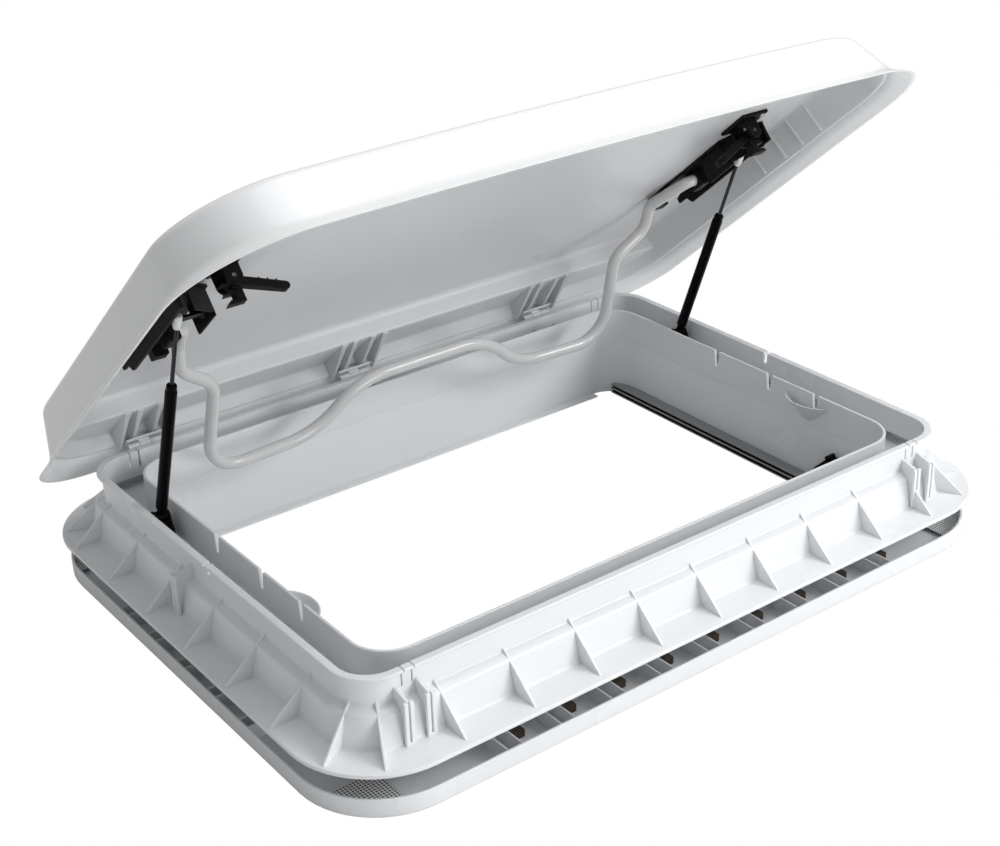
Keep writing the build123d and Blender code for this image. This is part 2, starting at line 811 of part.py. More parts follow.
def lid_pan():
    """Inner skin: bonding flange, deep pan, ledge over the hinges and stiffening fins."""
    wide = lid_half_x
    upper = pan_hollow(pan_t, pan_low_up, pan_top_up + pan_t)
    upper -= lid_box(-wide, wide, -1, ledge_in - pan_t, ledge_up + pan_t, wall_up)
    lower = pan_hollow(0, pan_low_up, pan_top_up)
    ledge = lid_box(-wide, wide, -1, ledge_in, ledge_up, wall_up)
    flange_ins = drawn_in(dome_inside_ins(pan_low_up + pan_t), bond_gap)
    flange = lid_block([(flange_ins, pan_low_up), (flange_ins, pan_low_up + pan_t)])
    body = upper + flange - (lower - ledge)
    body += fins()
    body += side_ribs(lower)
    body -= pan_screw_holes()
    return body


def fins():
    """Groups of fins below the ledge, one group over each hinge."""
    outline = [(ledge_in, ledge_up + pan_t / 2), (ledge_in, ledge_up), (ledge_in - fin_slope, fin_low_up)]
    outline += [(fin_in, fin_low_up), (fin_in, ledge_up + pan_t / 2)]
    webs = []
    for middle in hinge_places():
        for offset in fin_offsets:
            x = middle + offset
            webs.append(lid_web(outline, x - fin_t / 2, x + fin_t / 2))
    return webs


def side_ribs(space):
    """Shallow upright ribs on the side walls of the pan, clear of the brackets."""
    ribs = []
    x0 = lid_half_x - pan_in_top[0]
    low = pan_low_up + pan_t
    for distance in side_rib_in:
        rib = lid_box(x0, lid_half_x, distance, distance + side_rib_t, low, pan_top_up) & space
        ribs += [rib, mirrored(rib)]
    return ribs


def pan_screw_holes():
    """Holes for the bracket and latch screws."""
    holes = []
    for x, distance in lid_screw_points():
        for side in (-1, 1):
            y = lip_y - distance
            z = lip_z + pan_top_up
            holes.append(rod((side * x, y, z - 1), (side * x, y, z + pan_t + 1), screw_r))
    return holes


def lid_screw_points():
    """Screws of one bracket and one latch."""
    bracket = [(bracket_x + out, distance) for out, distance in bracket_screws_at]
    latch = [(latch_x + latch_screw_out, latch_in + side * latch_screw_in) for side in (-1, 1)]
    return bracket + latch


def lid_screws():
    """Pan-head screws that hold the brackets and latches to the pan."""
    screws = []
    thickness = [bracket_t] * len(bracket_screws_at) + [latch_plate_t] * 2
    for (x, distance), under in zip(lid_screw_points(), thickness):
        for side in (-1, 1):
            y = lip_y - distance
            seat = lip_z + pan_top_up - under
            shank = rod((side * x, y, seat), (side * x, y, lip_z + pan_top_up + pan_t), screw_r)
            head = rod((side * x, y, seat - screw_head_t), (side * x, y, seat), screw_head_r)
            screws.append(opened(shank + head))
    return Compound(screws)


def bracket_right():
    """Bracket under the pan that carries the strut's ball and one end of the bow handle."""
    low = pan_top_up - bracket_t
    in0, in1 = bracket_in
    web0, web1 = bracket_web_in
    out0, out1 = bracket_corner_out
    shoulder = in0 + bracket_corner_in
    outline = [(bracket_x, in0), (bracket_x + out0, in0), (bracket_x + out1, shoulder)]
    outline += [(bracket_wall_x, shoulder), (bracket_wall_x, in1), (strut_x, in1), (bracket_x, web1)]
    points = [(x, lip_y - distance, lip_z + low) for x, distance in outline]
    body = plate(points, bracket_t, (0, 0, 1))
    body += lid_box(bracket_web_x, bracket_web_x + bracket_t, web0, web1, bracket_web_up, low)
    front = [(bracket_web_x, web1), (strut_x, in1), (strut_x, in1 - bracket_t)]
    front.append((bracket_web_x, web1 - bracket_t))
    points = [(x, lip_y - distance, lip_z + bracket_web_up + bracket_t) for x, distance in front]
    body += plate(points, low - bracket_web_up - bracket_t, (0, 0, 1))
    step, edge, neck = [in0 + length for length in bracket_tail_in]
    tail_low, tail_top = bracket_tail_up
    wall = [(in0, tail_low), (step, tail_low), (edge, bracket_wall_up), (in1, bracket_wall_up)]
    wall += [(in1, low), (neck, low), (in0, tail_top)]
    body += lid_web(wall, bracket_wall_x - bracket_wall_t, bracket_wall_x)
    heel_x = bracket_x + bracket_heel_w
    body += lid_box(bracket_x, heel_x, in0, in0 + bracket_heel_l, tail_low, low)
    lug0 = bow_pivot_in - lug_half_l
    lug1 = bow_pivot_in + lug_half_l
    body += lid_box(bush_x[0], bush_x[1] + bracket_t, lug0, lug1, bracket_wall_up, low)
    bush_y = lip_y - bow_pivot_in
    bush_z = lip_z + bow_pivot_up
    bush_r = bow_r + pin_clear + bush_t
    body -= rod((bush_x[0] - 1, bush_y, bush_z), (bush_x[1], bush_y, bush_z), bush_r)
    ball_y = lip_y - ball_in
    ball_z = lip_z + ball_up
    web_end = bracket_web_x + bracket_t + 1
    body -= rod((bracket_web_x - 1, ball_y, ball_z), (web_end, ball_y, ball_z), stud_r)
    for out, distance in bracket_screws_at:
        place = (bracket_x + out, lip_y - distance)
        body -= rod((*place, lip_z + low - 1), (*place, lip_z + pan_top_up + 1), screw_r)
    return opened(body)


def ball_stud_right():
    """Ball stud through the bracket's web, with a head behind it."""
    y = lip_y - ball_in
    z = lip_z + ball_up
    inner_x = bracket_web_x
    outer_x = bracket_web_x + bracket_t
    stud = rod((inner_x, y, z), (strut_x, y, z), stud_r)
    stud += rod((inner_x - stud_head_t, y, z), (inner_x, y, z), stud_head_r)
    stud += rod((outer_x, y, z), (outer_x + stud_tail, y, z), stud_head_r)
    stud += Pos(strut_x, y, z) * Sphere(ball_r)
    return opened(stud)


def bow_bush_right():
    """Plain bush in the bracket's lug, round the end of the bow handle."""
    y = lip_y - bow_pivot_in
    z = lip_z + bow_pivot_up
    bush = rod((bush_x[0], y, z), (bush_x[1], y, z), bow_r + pin_clear + bush_t)
    bush -= rod((bush_x[0] - 1, y, z), (bush_x[1] + 1, y, z), bow_r + pin_clear)
    return opened(bush)


def latch_plane():
    """Plane across the right latch's pivot: X across and Y up, seen along the pivot."""
    pivot = (latch_x, lip_y - latch_in, lip_z + latch_up)
    return Plane(origin=pivot, x_dir=(1, 0, 0), z_dir=(0, -1, 0))


def latch_body_right():
    """Latch base under the pan, with two ears for the lever's pin."""
    low = pan_top_up - latch_plate_t
    x0, x1 = [latch_x + out for out in latch_plate_out]
    body = lid_box(x0, x1, latch_in - latch_plate_half, latch_in + latch_plate_half, low, pan_top_up)
    inner = latch_hub_w / 2 + latch_gap
    ear_x = [latch_x - latch_ear_half_w, latch_x + latch_ear_half_w]
    for side in (-1, 1):
        ends = sorted([latch_in + side * inner, latch_in + side * (inner + latch_ear_t)])
        ear = lid_box(*ear_x, *ends, latch_up, low)
        middle = Pos(0, 0, side * (inner + latch_ear_t / 2))
        ear += latch_plane() * middle * Cylinder(latch_ear_half_w, latch_ear_t)
        body += ear
    body -= latch_plane() * Cylinder(latch_pin_r, 4 * latch_hub_w)
    for side in (-1, 1):
        place = (latch_x + latch_screw_out, lip_y - latch_in - side * latch_screw_in)
        body -= rod((*place, lip_z + low - 1), (*place, lip_z + pan_top_up + 1), screw_r)
    return opened(body)


def latch_pin_right():
    """Pin of the latch lever."""
    length = latch_hub_w + 2 * (latch_gap + latch_ear_t)
    return opened(latch_plane() * Cylinder(latch_pin_r, length))


def latch_lever_right():
    """Latch lever: hub, finger arm that points inward, and a comb of hooks."""
    tip_x, tip_y = lever_tip
    length = hypot(tip_x, tip_y) - lever_t / 2
    angle = degrees(atan2(tip_y, tip_x))
    arm = Rot(0, 0, angle) * Pos(length / 2, 0) * SlotCenterToCenter(length, lever_t)
    comb = Pos(-comb_w / 4, -comb_drop / 2) * Rectangle(comb_w, comb_drop)
    for number in range(hook_count):
        y = -comb_drop + number * hook_pitch
        x0 = comb_w / 4 - hook_t
        x1 = comb_w / 4 + hook_reach
        hook = [(x0, y), (x1, y), (x1 - hook_t, y + hook_t), (x0, y + hook_t)]
        comb += make_face(Polyline(hook, close=True))
    lever = extrude(Circle(latch_hub_r), latch_hub_w / 2, both=True)
    lever += extrude(arm + comb, lever_w / 2, both=True)
    lever -= Cylinder(latch_pin_r + pin_clear, 2 * latch_hub_w)
    return opened(latch_plane() * lever)


def frame_leaf_screws():
    """Screws of the hinge leaves on the collar's back wall."""
    middle_z = (leaf_low_z + leaf_top_z) / 2
    places = [x + side * hinge_screw_x for x in hinge_places() for side in (-1, 1)]
    return [(x, rim_y - bead_out, middle_z) for x in places]


def hinge_leaves_frame():
    """Leaves on the collar's back wall, each with two knuckles."""
    wall_y = rim_y - bead_out
    leaves = []
    for x in hinge_places():
        leaf = box(x - leaf_half_w, x + leaf_half_w, wall_y, wall_y + leaf_t, leaf_low_z, leaf_top_z)
        for side in (-1, 1):
            x0 = x + side * (knuckle_w / 2 + knuckle_gap)
            x1 = x0 + side * knuckle_w
            leaf += box(x0, x1, wall_y, hinge_y, leaf_top_z - leaf_t, leaf_top_z)
            leaf += rod((x0, hinge_y, hinge_z), (x1, hinge_y, hinge_z), knuckle_r)
        leaf -= rod((x - 2 * leaf_half_w, hinge_y, hinge_z), (x + 2 * leaf_half_w, hinge_y, hinge_z), pin_r)
        for side in (-1, 1):
            screw_x = x + side * hinge_screw_x
            middle_z = (leaf_low_z + leaf_top_z) / 2
            ends = [(screw_x, y, middle_z) for y in (wall_y - 1, wall_y + leaf_t + 1)]
            leaf -= rod(*ends, hinge_screw_r)
        leaves.append(leaf)
    return Compound(leaves)


def hinge_leaves_lid():
    """Leaves under the pan's flange, each with one knuckle between those of the frame."""
    in0, in1 = lid_leaf_in
    low = pan_low_up - lid_leaf_drop
    leaves = []
    for x in hinge_places():
        leaf = lid_box(x - leaf_half_w, x + leaf_half_w, in0, in1, low, pan_low_up)
        half = knuckle_w / 2
        leaf += lid_box(x - half, x + half, hinge_in - leaf_t / 2, hinge_in + leaf_t, hinge_up, low)
        leaf += rod((x - half, hinge_y, hinge_z), (x + half, hinge_y, hinge_z), knuckle_r)
        ends = [(x + side * leaf_half_w, hinge_y, hinge_z) for side in (-1, 1)]
        leaf -= rod(*ends, pin_r + pin_clear)
        leaves.append(opened(leaf))
    return Compound(leaves)


def hinge_pins():
    """One pin through the three knuckles of each hinge."""
    half = 1.5 * knuckle_w + knuckle_gap
    pins = []
    for x in hinge_places():
        pins.append(rod((x - half, hinge_y, hinge_z), (x + half, hinge_y, hinge_z), pin_r))
    return Compound(pins)


def hinge_screws():
    """Screws that hold the hinge leaves to the collar."""
    screws = []
    for x, y, z in frame_leaf_screws():
        shank = rod((x, y - shell_t, z), (x, y + leaf_t, z), hinge_screw_r)
        head = rod((x, y + leaf_t, z), (x, y + leaf_t + hinge_screw_head_t, z), hinge_screw_head_r)
        screws.append(shank + head)
    return Compound(screws)


strut_foot = (strut_x, foot_y, foot_z)
strut_ball = lid_point(strut_x, ball_in, ball_up)
strut_length = (Vector(*strut_ball) - Vector(*strut_foot)).length
STRUT = Plane(origin=strut_foot, x_dir=(1, 0, 0), z_dir=Vector(*strut_ball) - Vector(*strut_foot))


def along(z0, z1, radius):
    """A round bar on the strut's own axis, between two distances from the foot."""
    return Pos(0, 0, z0) * extrude(Circle(radius), z1 - z0)


def strut_cylinder_right():
    """Pressure tube of the gas strut, closed at the foot and with a rod guide at the top."""
    tube = along(cylinder_start, cylinder_stop, cylinder_r)
    tube -= along(cylinder_start + cylinder_end_t, cylinder_stop - cylinder_end_t, cylinder_bore_r)
    tube -= along(cylinder_stop - cylinder_end_t - 1, cylinder_stop + 1, rod_r + pin_clear)
    return STRUT * tube


def strut_eye_right():
    """Eye at the foot of the strut, on a neck that meets the pressure tube."""
    eye = Rot(0, 90, 0) * Cylinder(eye_r, eye_w)
    eye += along(0, cylinder_start, neck_r)
    eye -= Rot(0, 90, 0) * Cylinder(eye_hole_r, 2 * eye_w)
    return STRUT * eye


def strut_rod_right():
    """Piston rod, with its piston inside the pressure tube."""
    piston_top = cylinder_stop - cylinder_end_t - piston_set
    bar = along(piston_top, strut_length - socket_low, rod_r)
    bar += along(piston_top - piston_l, piston_top, piston_r)
    return STRUT * bar


def strut_socket_right():
    """White ball socket on the end of the rod."""
    socket = along(strut_length - socket_low, strut_length + socket_high, socket_r)
    socket -= Pos(0, 0, strut_length) * Sphere(ball_r + ball_clear)
    side_hole = Rot(0, 90, 0) * Cylinder(stud_r + ball_clear, 2 * socket_r)
    side_hole = Pos(-socket_r, 0, strut_length) * side_hole
    return STRUT * (socket - side_hole)


def strut_fork_right():
    """Fork on the gutter floor, with a cheek on each side of the strut's eye."""
    inner = eye_w / 2 + fork_gap
    outer = inner + fork_t
    y0 = foot_y - fork_half_l
    y1 = foot_y + fork_half_l
    base_z = ring_floor_z + fork_base_t
    fork = box(strut_x - outer, strut_x + outer, y0, y1, ring_floor_z, base_z)
    for side in (-1, 1):
        x0 = strut_x + side * inner
        points = [(x0, y0, base_z), (x0, y1, base_z), (x0, foot_y + eye_r, foot_z + eye_r)]
        points.append((x0, foot_y - eye_r, foot_z + eye_r))
        fork += plate(points, fork_t, (side, 0, 0))
    ends = [(strut_x + side * 2 * outer, foot_y, foot_z) for side in (-1, 1)]
    return fork - rod(*ends, eye_hole_r)


def bow_handle():
    """Bent tube that hangs from the two brackets and lifts or pulls the lid."""
    pivot = lid_point(0, bow_pivot_in, bow_pivot_up)
    bend = lid_point(0, bow_bend_in, bow_bend_up)
    tilt = radians(bow_tilt)
    outline = [(rim_x - inset, drop) for inset, drop in bow_insets] + list(bow_waist)
    right = [(bush_x[1] - bar_end_clear, *pivot[1:]), (rim_x - bow_arm_inset, *pivot[1:])]
    right += [(x, bend[1] + drop * sin(tilt), bend[2] - drop * cos(tilt)) for x, drop in outline]
    left = [(-x, y, z) for x, y, z in reversed(right)]
    path = FilletPolyline(right + left, radius=list(bow_radii) + list(reversed(bow_radii)))
    ring = Circle(bow_r) - Circle(bow_r - bow_wall)
    start = Plane(origin=right[0], z_dir=(-1, 0, 0))
    return sweep(start * ring, path=path)


blind_level, fly_level = groove_levels()
right_pieces = {
    "guide_rail": rail_right(),
    "strut_bracket": bracket_right(),
    "latch_body": latch_body_right(),
    "latch_lever": latch_lever_right(),
    "strut_cylinder": strut_cylinder_right(),
    "strut_eye": strut_eye_right(),
    "strut_rod": strut_rod_right(),
    "strut_socket": strut_socket_right(),
    "strut_fork": strut_fork_right(),
    "cassette_end_cap": end_cap_right(),
}
pairs = {
    "ball_studs": ball_stud_right(),
    "bow_bushes": bow_bush_right(),
    "latch_pins": latch_pin_right(),
}
nodes = {
    "roof_frame": roof_frame(),
    "channel_ring": channel_ring(),
    "ring_screws": ring_screws(),
    "ceiling_frame": ceiling_frame(),
    "vent_pads": vent_pads(),
    "corner_mesh": corner_mesh(),
    "cassette_cover": cassette_cover(),
    "flyscreen_bar": screen_bar(fly_level, fly_bar_h),
    "flyscreen_pack": screen_pack(fly_level, fly_pleat_h),
    "blind_bar": screen_bar(blind_level, blind_bar_h),
    "blind_pack": screen_pack(blind_level, blind_pleat_h),
    "hinge_leaves_frame": hinge_leaves_frame(),
    "hinge_leaves_lid": hinge_leaves_lid(),
    "hinge_pins": hinge_pins(),
    "hinge_screws": hinge_screws(),
    "lid_dome": opened(lid_dome()),
    "lid_pan": opened(lid_pan()),
    "lid_screws": lid_screws(),
    "bow_handle": bow_handle(),
}
for name, piece in right_pieces.items():
    nodes[name + "_right"] = piece
    nodes[name + "_left"] = mirrored(piece)
for name, piece in pairs.items():
    nodes[name] = Compound([piece, mirrored(piece)])

for name, piece in nodes.items():
    export_step(piece, "parts/" + name + ".step")

print("hinge axis y, z:", round(hinge_y, 3), round(hinge_z, 3))
print("strut ball:", [round(value, 3) for value in strut_ball], "strut length:", round(strut_length, 3))
print("bow pivot:", [round(value, 3) for value in lid_point(0, bow_pivot_in, bow_pivot_up)])
print("latch pivot:", [round(value, 3) for value in lid_point(latch_x, latch_in, latch_up)])
print("closed ball:", round(lip_y - ball_in, 3), round(lip_z + ball_up, 3))
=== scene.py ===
import math

import bmesh
import bpy
import numpy as np
from mathutils import Matrix, Vector


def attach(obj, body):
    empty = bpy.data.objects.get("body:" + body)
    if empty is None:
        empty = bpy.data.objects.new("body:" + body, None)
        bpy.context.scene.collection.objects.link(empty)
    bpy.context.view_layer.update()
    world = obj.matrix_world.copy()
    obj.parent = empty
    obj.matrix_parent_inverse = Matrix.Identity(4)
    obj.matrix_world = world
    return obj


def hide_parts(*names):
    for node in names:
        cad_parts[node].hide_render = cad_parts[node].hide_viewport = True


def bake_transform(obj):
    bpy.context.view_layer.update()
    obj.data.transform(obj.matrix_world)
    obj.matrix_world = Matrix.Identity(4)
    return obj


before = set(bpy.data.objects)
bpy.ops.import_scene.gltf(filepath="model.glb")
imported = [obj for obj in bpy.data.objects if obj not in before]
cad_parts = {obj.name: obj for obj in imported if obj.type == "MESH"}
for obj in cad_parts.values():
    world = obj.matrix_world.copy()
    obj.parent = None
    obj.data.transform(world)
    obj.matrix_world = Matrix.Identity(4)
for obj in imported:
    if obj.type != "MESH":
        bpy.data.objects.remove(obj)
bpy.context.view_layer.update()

# Camera. It stands in front of the sunroof and to its left, a little above it, and looks over the
# long side into the raised lid. Its place is in metres, and its focal length and the middle of its
# picture are in pixels.
camera_place = (-0.9060, -1.2020, 0.8435)
azimuth, elevation, roll = math.radians(-36.40), math.radians(26.48), math.radians(-1.81)
focal_pixels = 1720.27
frame_width, frame_height = 1000, 846
middle_u, middle_v = 500.71, 420.93
sensor_width = 36

level = math.cos(elevation)
back = Vector((math.sin(azimuth) * level, -math.cos(azimuth) * level, math.sin(elevation)))
right = Vector((math.cos(azimuth), math.sin(azimuth), 0))
up = back.cross(right)
right, up = (right * math.cos(roll) + up * math.sin(roll), up * math.cos(roll) - right * math.sin(roll))
camera = bpy.data.cameras.new("camera")
camera.sensor_width = sensor_width
camera.lens = focal_pixels / frame_width * sensor_width
camera.shift_x = (frame_width / 2 - middle_u) / frame_width
camera.shift_y = (middle_v - frame_height / 2) / frame_width
camera.clip_start = 0.05
camera_stand = bpy.data.objects.new("camera", camera)
bpy.context.scene.collection.objects.link(camera_stand)
facing = Matrix((right, up, back)).transposed().to_4x4()
camera_stand.matrix_world = Matrix.Translation(camera_place) @ facing
bpy.context.scene.camera = camera_stand


# Outer frame. One white ABS injection moulding: a flange that lies on the roof, a collar round the
# opening with a beaded rim, webs and slotted posts between them, a skirt that drops into the
# cut-out, and a shelf with screw bosses inside.
MM = 0.001
# An outline is (half width, half depth, corner radius), in millimetres like every size of a piece.
flange = (390, 290, 85)
rim = (349, 245, 38)
shelf = (316, 221, 41)
skirt_inside, skirt_outside = (342.5, 242.5, 35.5), (345, 245, 38)
skirt_low, flange_high, shelf_low, shelf_high = -15, 4, 23, 26
step_low, step_high, bead_low, rim_high = 33, 37, 62, 65
clamp_bore = 2.75


def rounded_outline(half_x, half_y, radius, z, steps=14):
    """Points round a level rounded rectangle: each corner's centre plus radius times (cos, sin) of a
    quarter turn."""
    turn = np.linspace(0, np.pi / 2, steps) + np.arange(4)[:, None] * np.pi / 2
    side = np.array([(1, 1), (-1, 1), (-1, -1), (1, -1)])
    x = side[:, :1] * (half_x - radius) + radius * np.cos(turn)
    y = side[:, 1:] * (half_y - radius) + radius * np.sin(turn)
    return np.stack([x.ravel(), y.ravel(), np.full(x.size, float(z))], axis=1)


def more(sizes, extra):
    """Several sizes, each with the same amount added."""
    return tuple(size + extra for size in sizes)


def eased(rows, radii, closed=True, steps=4):
    """Each row P of points becomes the curve (1-t)^2 A + 2t(1-t) P + t^2 B. A and B lie towards the rows
    before and after it, a radius away, or 0.45 of the way where they are near."""
    rows = np.array(rows, float)
    radii = np.broadcast_to(np.asarray(radii, float), (len(rows),))[:, None, None]

    def toward(step):
        length = np.linalg.norm(step, axis=2, keepdims=True)
        return step * np.minimum(radii / np.maximum(length, 1e-6), 0.45)

    before = rows + toward(np.roll(rows, 1, axis=0) - rows)
    after = rows + toward(np.roll(rows, -1, axis=0) - rows)
    if not closed:
        before[0] = after[0] = rows[0]
        before[-1] = after[-1] = rows[-1]
    t = np.linspace(0, 1, steps)[None, :, None, None]
    curve = (1 - t) ** 2 * before[:, None] + 2 * t * (1 - t) * rows[:, None] + t ** 2 * after[:, None]
    return curve.reshape(-1, *rows.shape[1:])


def loft(rows, closed_rows=True, closed_round=True, cap_start=False, cap_end=False):
    """Squares between neighbouring points of neighbouring rows, with a fan to the middle of an end row
    that is capped. Returns points and a list of face arrays."""
    rows = np.asarray(rows, float)
    count, width = rows.shape[:2]
    number = np.arange(count * width).reshape(count, width)
    low = number if closed_rows else number[:-1]
    high = np.roll(number, -1, axis=0) if closed_rows else number[1:]
    if closed_round:
        faces = np.stack([low, np.roll(low, -1, 1), np.roll(high, -1, 1), high], axis=-1)
    else:
        faces = np.stack([low[:, :-1], low[:, 1:], high[:, 1:], high[:, :-1]], axis=-1)
    points = rows.reshape(-1, 3)
    groups = [faces.reshape(-1, 4)]
    for wanted, row in ((cap_start, number[0]), (cap_end, number[-1])):
        if wanted:
            points = np.vstack([points, points[row].mean(axis=0)])
            groups.append(np.stack([row, np.roll(row, -1), np.full(width, len(points) - 1)], axis=-1))
    return points, groups


def moulding(rows, steps=4):
    """A ring-shaped moulding. Each row is a corner of its section, carried round a rounded rectangle:
    (outline, height, radius of the corner), where an outline is (half width, half depth, radius)."""
    outlines = [rounded_outline(*outline, z) for outline, z, radius in rows]
    return loft(eased(outlines, [radius for outline, z, radius in rows], steps=steps))


def soft_plate(outline, thickness, edge=0.35):
    """A flat polygon (u, v) with thickness w, both rims drawn in by the edge: each corner moves by
    (n1 + n2) / (1 + n1.n2) along the inward normals of its two sides."""
    outline = np.array(outline, float)
    forward = np.roll(outline, -1, axis=0) - outline
    area = np.sum(outline[:, 0] * np.roll(outline[:, 1], -1) - outline[:, 1] * np.roll(outline[:, 0], -1))
    forward = forward / np.linalg.norm(forward, axis=1, keepdims=True)
    normal = np.stack([-forward[:, 1], forward[:, 0]], axis=1) * np.sign(area)
    other = np.roll(normal, 1, axis=0)
    inset = outline + edge * (normal + other) / (1 + np.sum(normal * other, axis=1, keepdims=True))
    rows = []
    for ring, w in ((inset, 0), (outline, edge), (outline, thickness - edge), (inset, thickness)):
        rows.append(np.column_stack([ring, np.full(len(ring), float(w))]))
    points, groups = loft(rows, closed_rows=False)
    number = np.arange(len(outline))
    return points, groups + [number[None, ::-1], number[None, :] + 3 * len(outline)]


def stood(shape, base, out):
    """A shape drawn as (out, up, across) and centred across, stood at a base that faces a direction."""
    points, groups = shape
    out = np.array([out[0], out[1], 0.0]) / math.hypot(*out)
    across = np.array([-out[1], out[0], 0.0])
    middle = (points[:, 2].min() + points[:, 2].max()) / 2
    placed = np.outer(points[:, 0], out) + np.outer(points[:, 2] - middle, across)
    placed[:, 2] += points[:, 1]
    return placed + np.array([base[0], base[1], 0.0]), groups


def block(x0, x1, y0, y1, z0, z1, edge=0.35):
    """A box with softened edges, given by the places of its six faces."""
    x0, x1, y0, y1, z0, z1 = min(x0, x1), max(x0, x1), min(y0, y1), max(y0, y1), min(z0, z1), max(z0, z1)
    points, groups = soft_plate([(x0, y0), (x1, y0), (x1, y1), (x0, y1)], z1 - z0, edge)
    return points + np.array([0, 0, z0]), groups


def turned(profile, start, end, steps=24, closed=True, ease=0.3):
    """A lathe shape: each (radius, distance) of the profile becomes a circle about the line from start
    to end, at that distance from start."""
    start = np.array(start, float)
    axis = np.array(end, float) - start
    axis /= np.linalg.norm(axis)
    helper = np.array([1.0, 0, 0]) if abs(axis[0]) < 0.9 else np.array([0, 1.0, 0])
    side = np.cross(axis, helper)
    side /= np.linalg.norm(side)
    other = np.cross(axis, side)
    turn = np.linspace(0, 2 * np.pi, steps, endpoint=False)
    circle = np.outer(np.cos(turn), side) + np.outer(np.sin(turn), other)
    rows = np.array([start + radius * circle + distance * axis for radius, distance in profile])
    rows = eased(rows, ease, closed=closed)
    return loft(rows, closed_rows=closed, cap_start=not closed, cap_end=not closed)


def spindle(profile, start, end, steps=24, ease=0):
    """A solid lathe shape, whose profile is open and runs between two capped ends."""
    return turned(profile, start, end, steps, closed=False, ease=ease)


def made(name, shapes, smooth=32):
    """One mesh object from a list of shapes in millimetres, with soft edges smooth and hard ones crisp."""
    points, faces, start = [], [], 0
    for shape_points, groups in shapes:
        points.append(shape_points)
        for group in groups:
            faces += (group + start).tolist()
        start += len(shape_points)
    mesh = bpy.data.meshes.new(name)
    mesh.from_pydata(np.vstack(points) * MM, [], faces)
    mesh.update()
    piece = bpy.data.objects.new(name, mesh)
    bpy.context.scene.collection.objects.link(piece)
    face_outward(piece, smooth)
    return piece


def face_outward(piece, smooth=32):
    """Merge doubled points, turn every closed shell's faces outward and mark edges sharper than an angle."""
    work = bmesh.new()
    work.from_mesh(piece.data)
    bmesh.ops.remove_doubles(work, verts=work.verts, dist=1e-6)
    bmesh.ops.dissolve_degenerate(work, edges=work.edges, dist=1e-6)
    bmesh.ops.recalc_face_normals(work, faces=work.faces)
    work.to_mesh(piece.data)
    work.free()
    piece.data.shade_smooth()
    piece.data.set_sharp_from_angle(angle=math.radians(smooth))
    if not piece.modifiers:
        even = piece.modifiers.new("flat faces stay flat", "WEIGHTED_NORMAL")
        even.keep_sharp = True


def carved(piece, cutters, smooth=32):
    """Take shapes out of a piece, and keep the result as its mesh."""
    knife = made(piece.name + "_cut", cutters)
    knife.modifiers.clear()
    piece.modifiers.clear()
    step = piece.modifiers.new("cut", "BOOLEAN")
    step.object = knife
    step.solver = "EXACT"
    bpy.context.view_layer.update()
    result = bpy.data.meshes.new_from_object(piece.evaluated_get(bpy.context.evaluated_depsgraph_get()))
    piece.modifiers.clear()
    piece.data = result
    bpy.data.objects.remove(knife)
    face_outward(piece, smooth)


def joined(name, *pieces):
    """Several objects as one, under one name."""
    with bpy.context.temp_override(active_object=pieces[0], selected_editable_objects=list(pieces)):
        bpy.ops.object.join()
    pieces[0].name = name
    pieces[0].data.name = name
    return pieces[0]


def set_inputs(node, values):
    """Give inputs of a node, by name or by number, their values."""
    for key, value in values.items():
        node.inputs[key].default_value = value


def new_node(tree, kind, values=None, **traits):
    """A node with its traits, such as its operation, and the values of some of its inputs."""
    node = tree.nodes.new(kind)
    for trait, value in traits.items():
        setattr(node, trait, value)
    set_inputs(node, values or {})
    return node


def wire(tree, *links):
    """Join outputs to inputs. Each link is (node, output, node, input)."""
    for giver, output, taker, key in links:
        tree.links.new(giver.outputs[output], taker.inputs[key])


def moulded_surface():
    """Node group for moulded or painted skins. A broad noise tints the colour and the roughness, a
    fine one gives the grain, and both raise the surface a little."""
    tree = bpy.data.node_groups.new("moulded surface", "ShaderNodeTree")
    for name, kind in (("Colour", "Color"), ("Deep colour", "Color"), ("Roughness", "Float"),
                       ("Haze", "Float"), ("Grain size", "Float"), ("Grain", "Float"),
                       ("Wave size", "Float"), ("Wave", "Float")):
        tree.interface.new_socket(name=name, in_out="INPUT", socket_type="NodeSocket" + kind)
    for name, kind in (("Colour", "Color"), ("Roughness", "Float"), ("Normal", "Vector")):
        tree.interface.new_socket(name=name, in_out="OUTPUT", socket_type="NodeSocket" + kind)
    given, result = tree.nodes.new("NodeGroupInput"), tree.nodes.new("NodeGroupOutput")
    place = new_node(tree, "ShaderNodeTexCoord")
    broad = new_node(tree, "ShaderNodeTexNoise", {"Detail": 3})
    fine = new_node(tree, "ShaderNodeTexNoise", {"Detail": 2})
    tint = new_node(tree, "ShaderNodeMix", data_type="RGBA")
    haze = new_node(tree, "ShaderNodeMath", operation="MULTIPLY_ADD")
    swell = new_node(tree, "ShaderNodeBump", {"Distance": 0.004})
    grit = new_node(tree, "ShaderNodeBump", {"Distance": 0.0002})
    wire(tree,
         (place, "Object", broad, "Vector"), (given, "Wave size", broad, "Scale"),
         (place, "Object", fine, "Vector"), (given, "Grain size", fine, "Scale"),
         (broad, "Fac", tint, 0), (given, "Deep colour", tint, 6), (given, "Colour", tint, 7),
         (tint, 2, result, "Colour"),
         (broad, "Fac", haze, 0), (given, "Haze", haze, 1), (given, "Roughness", haze, 2),
         (haze, 0, result, "Roughness"),
         (given, "Wave", swell, "Strength"), (broad, "Fac", swell, "Height"),
         (given, "Grain", grit, "Strength"), (fine, "Fac", grit, "Height"), (swell, "Normal", grit, "Normal"),
         (grit, "Normal", result, "Normal"))
    return tree


moulded = moulded_surface()


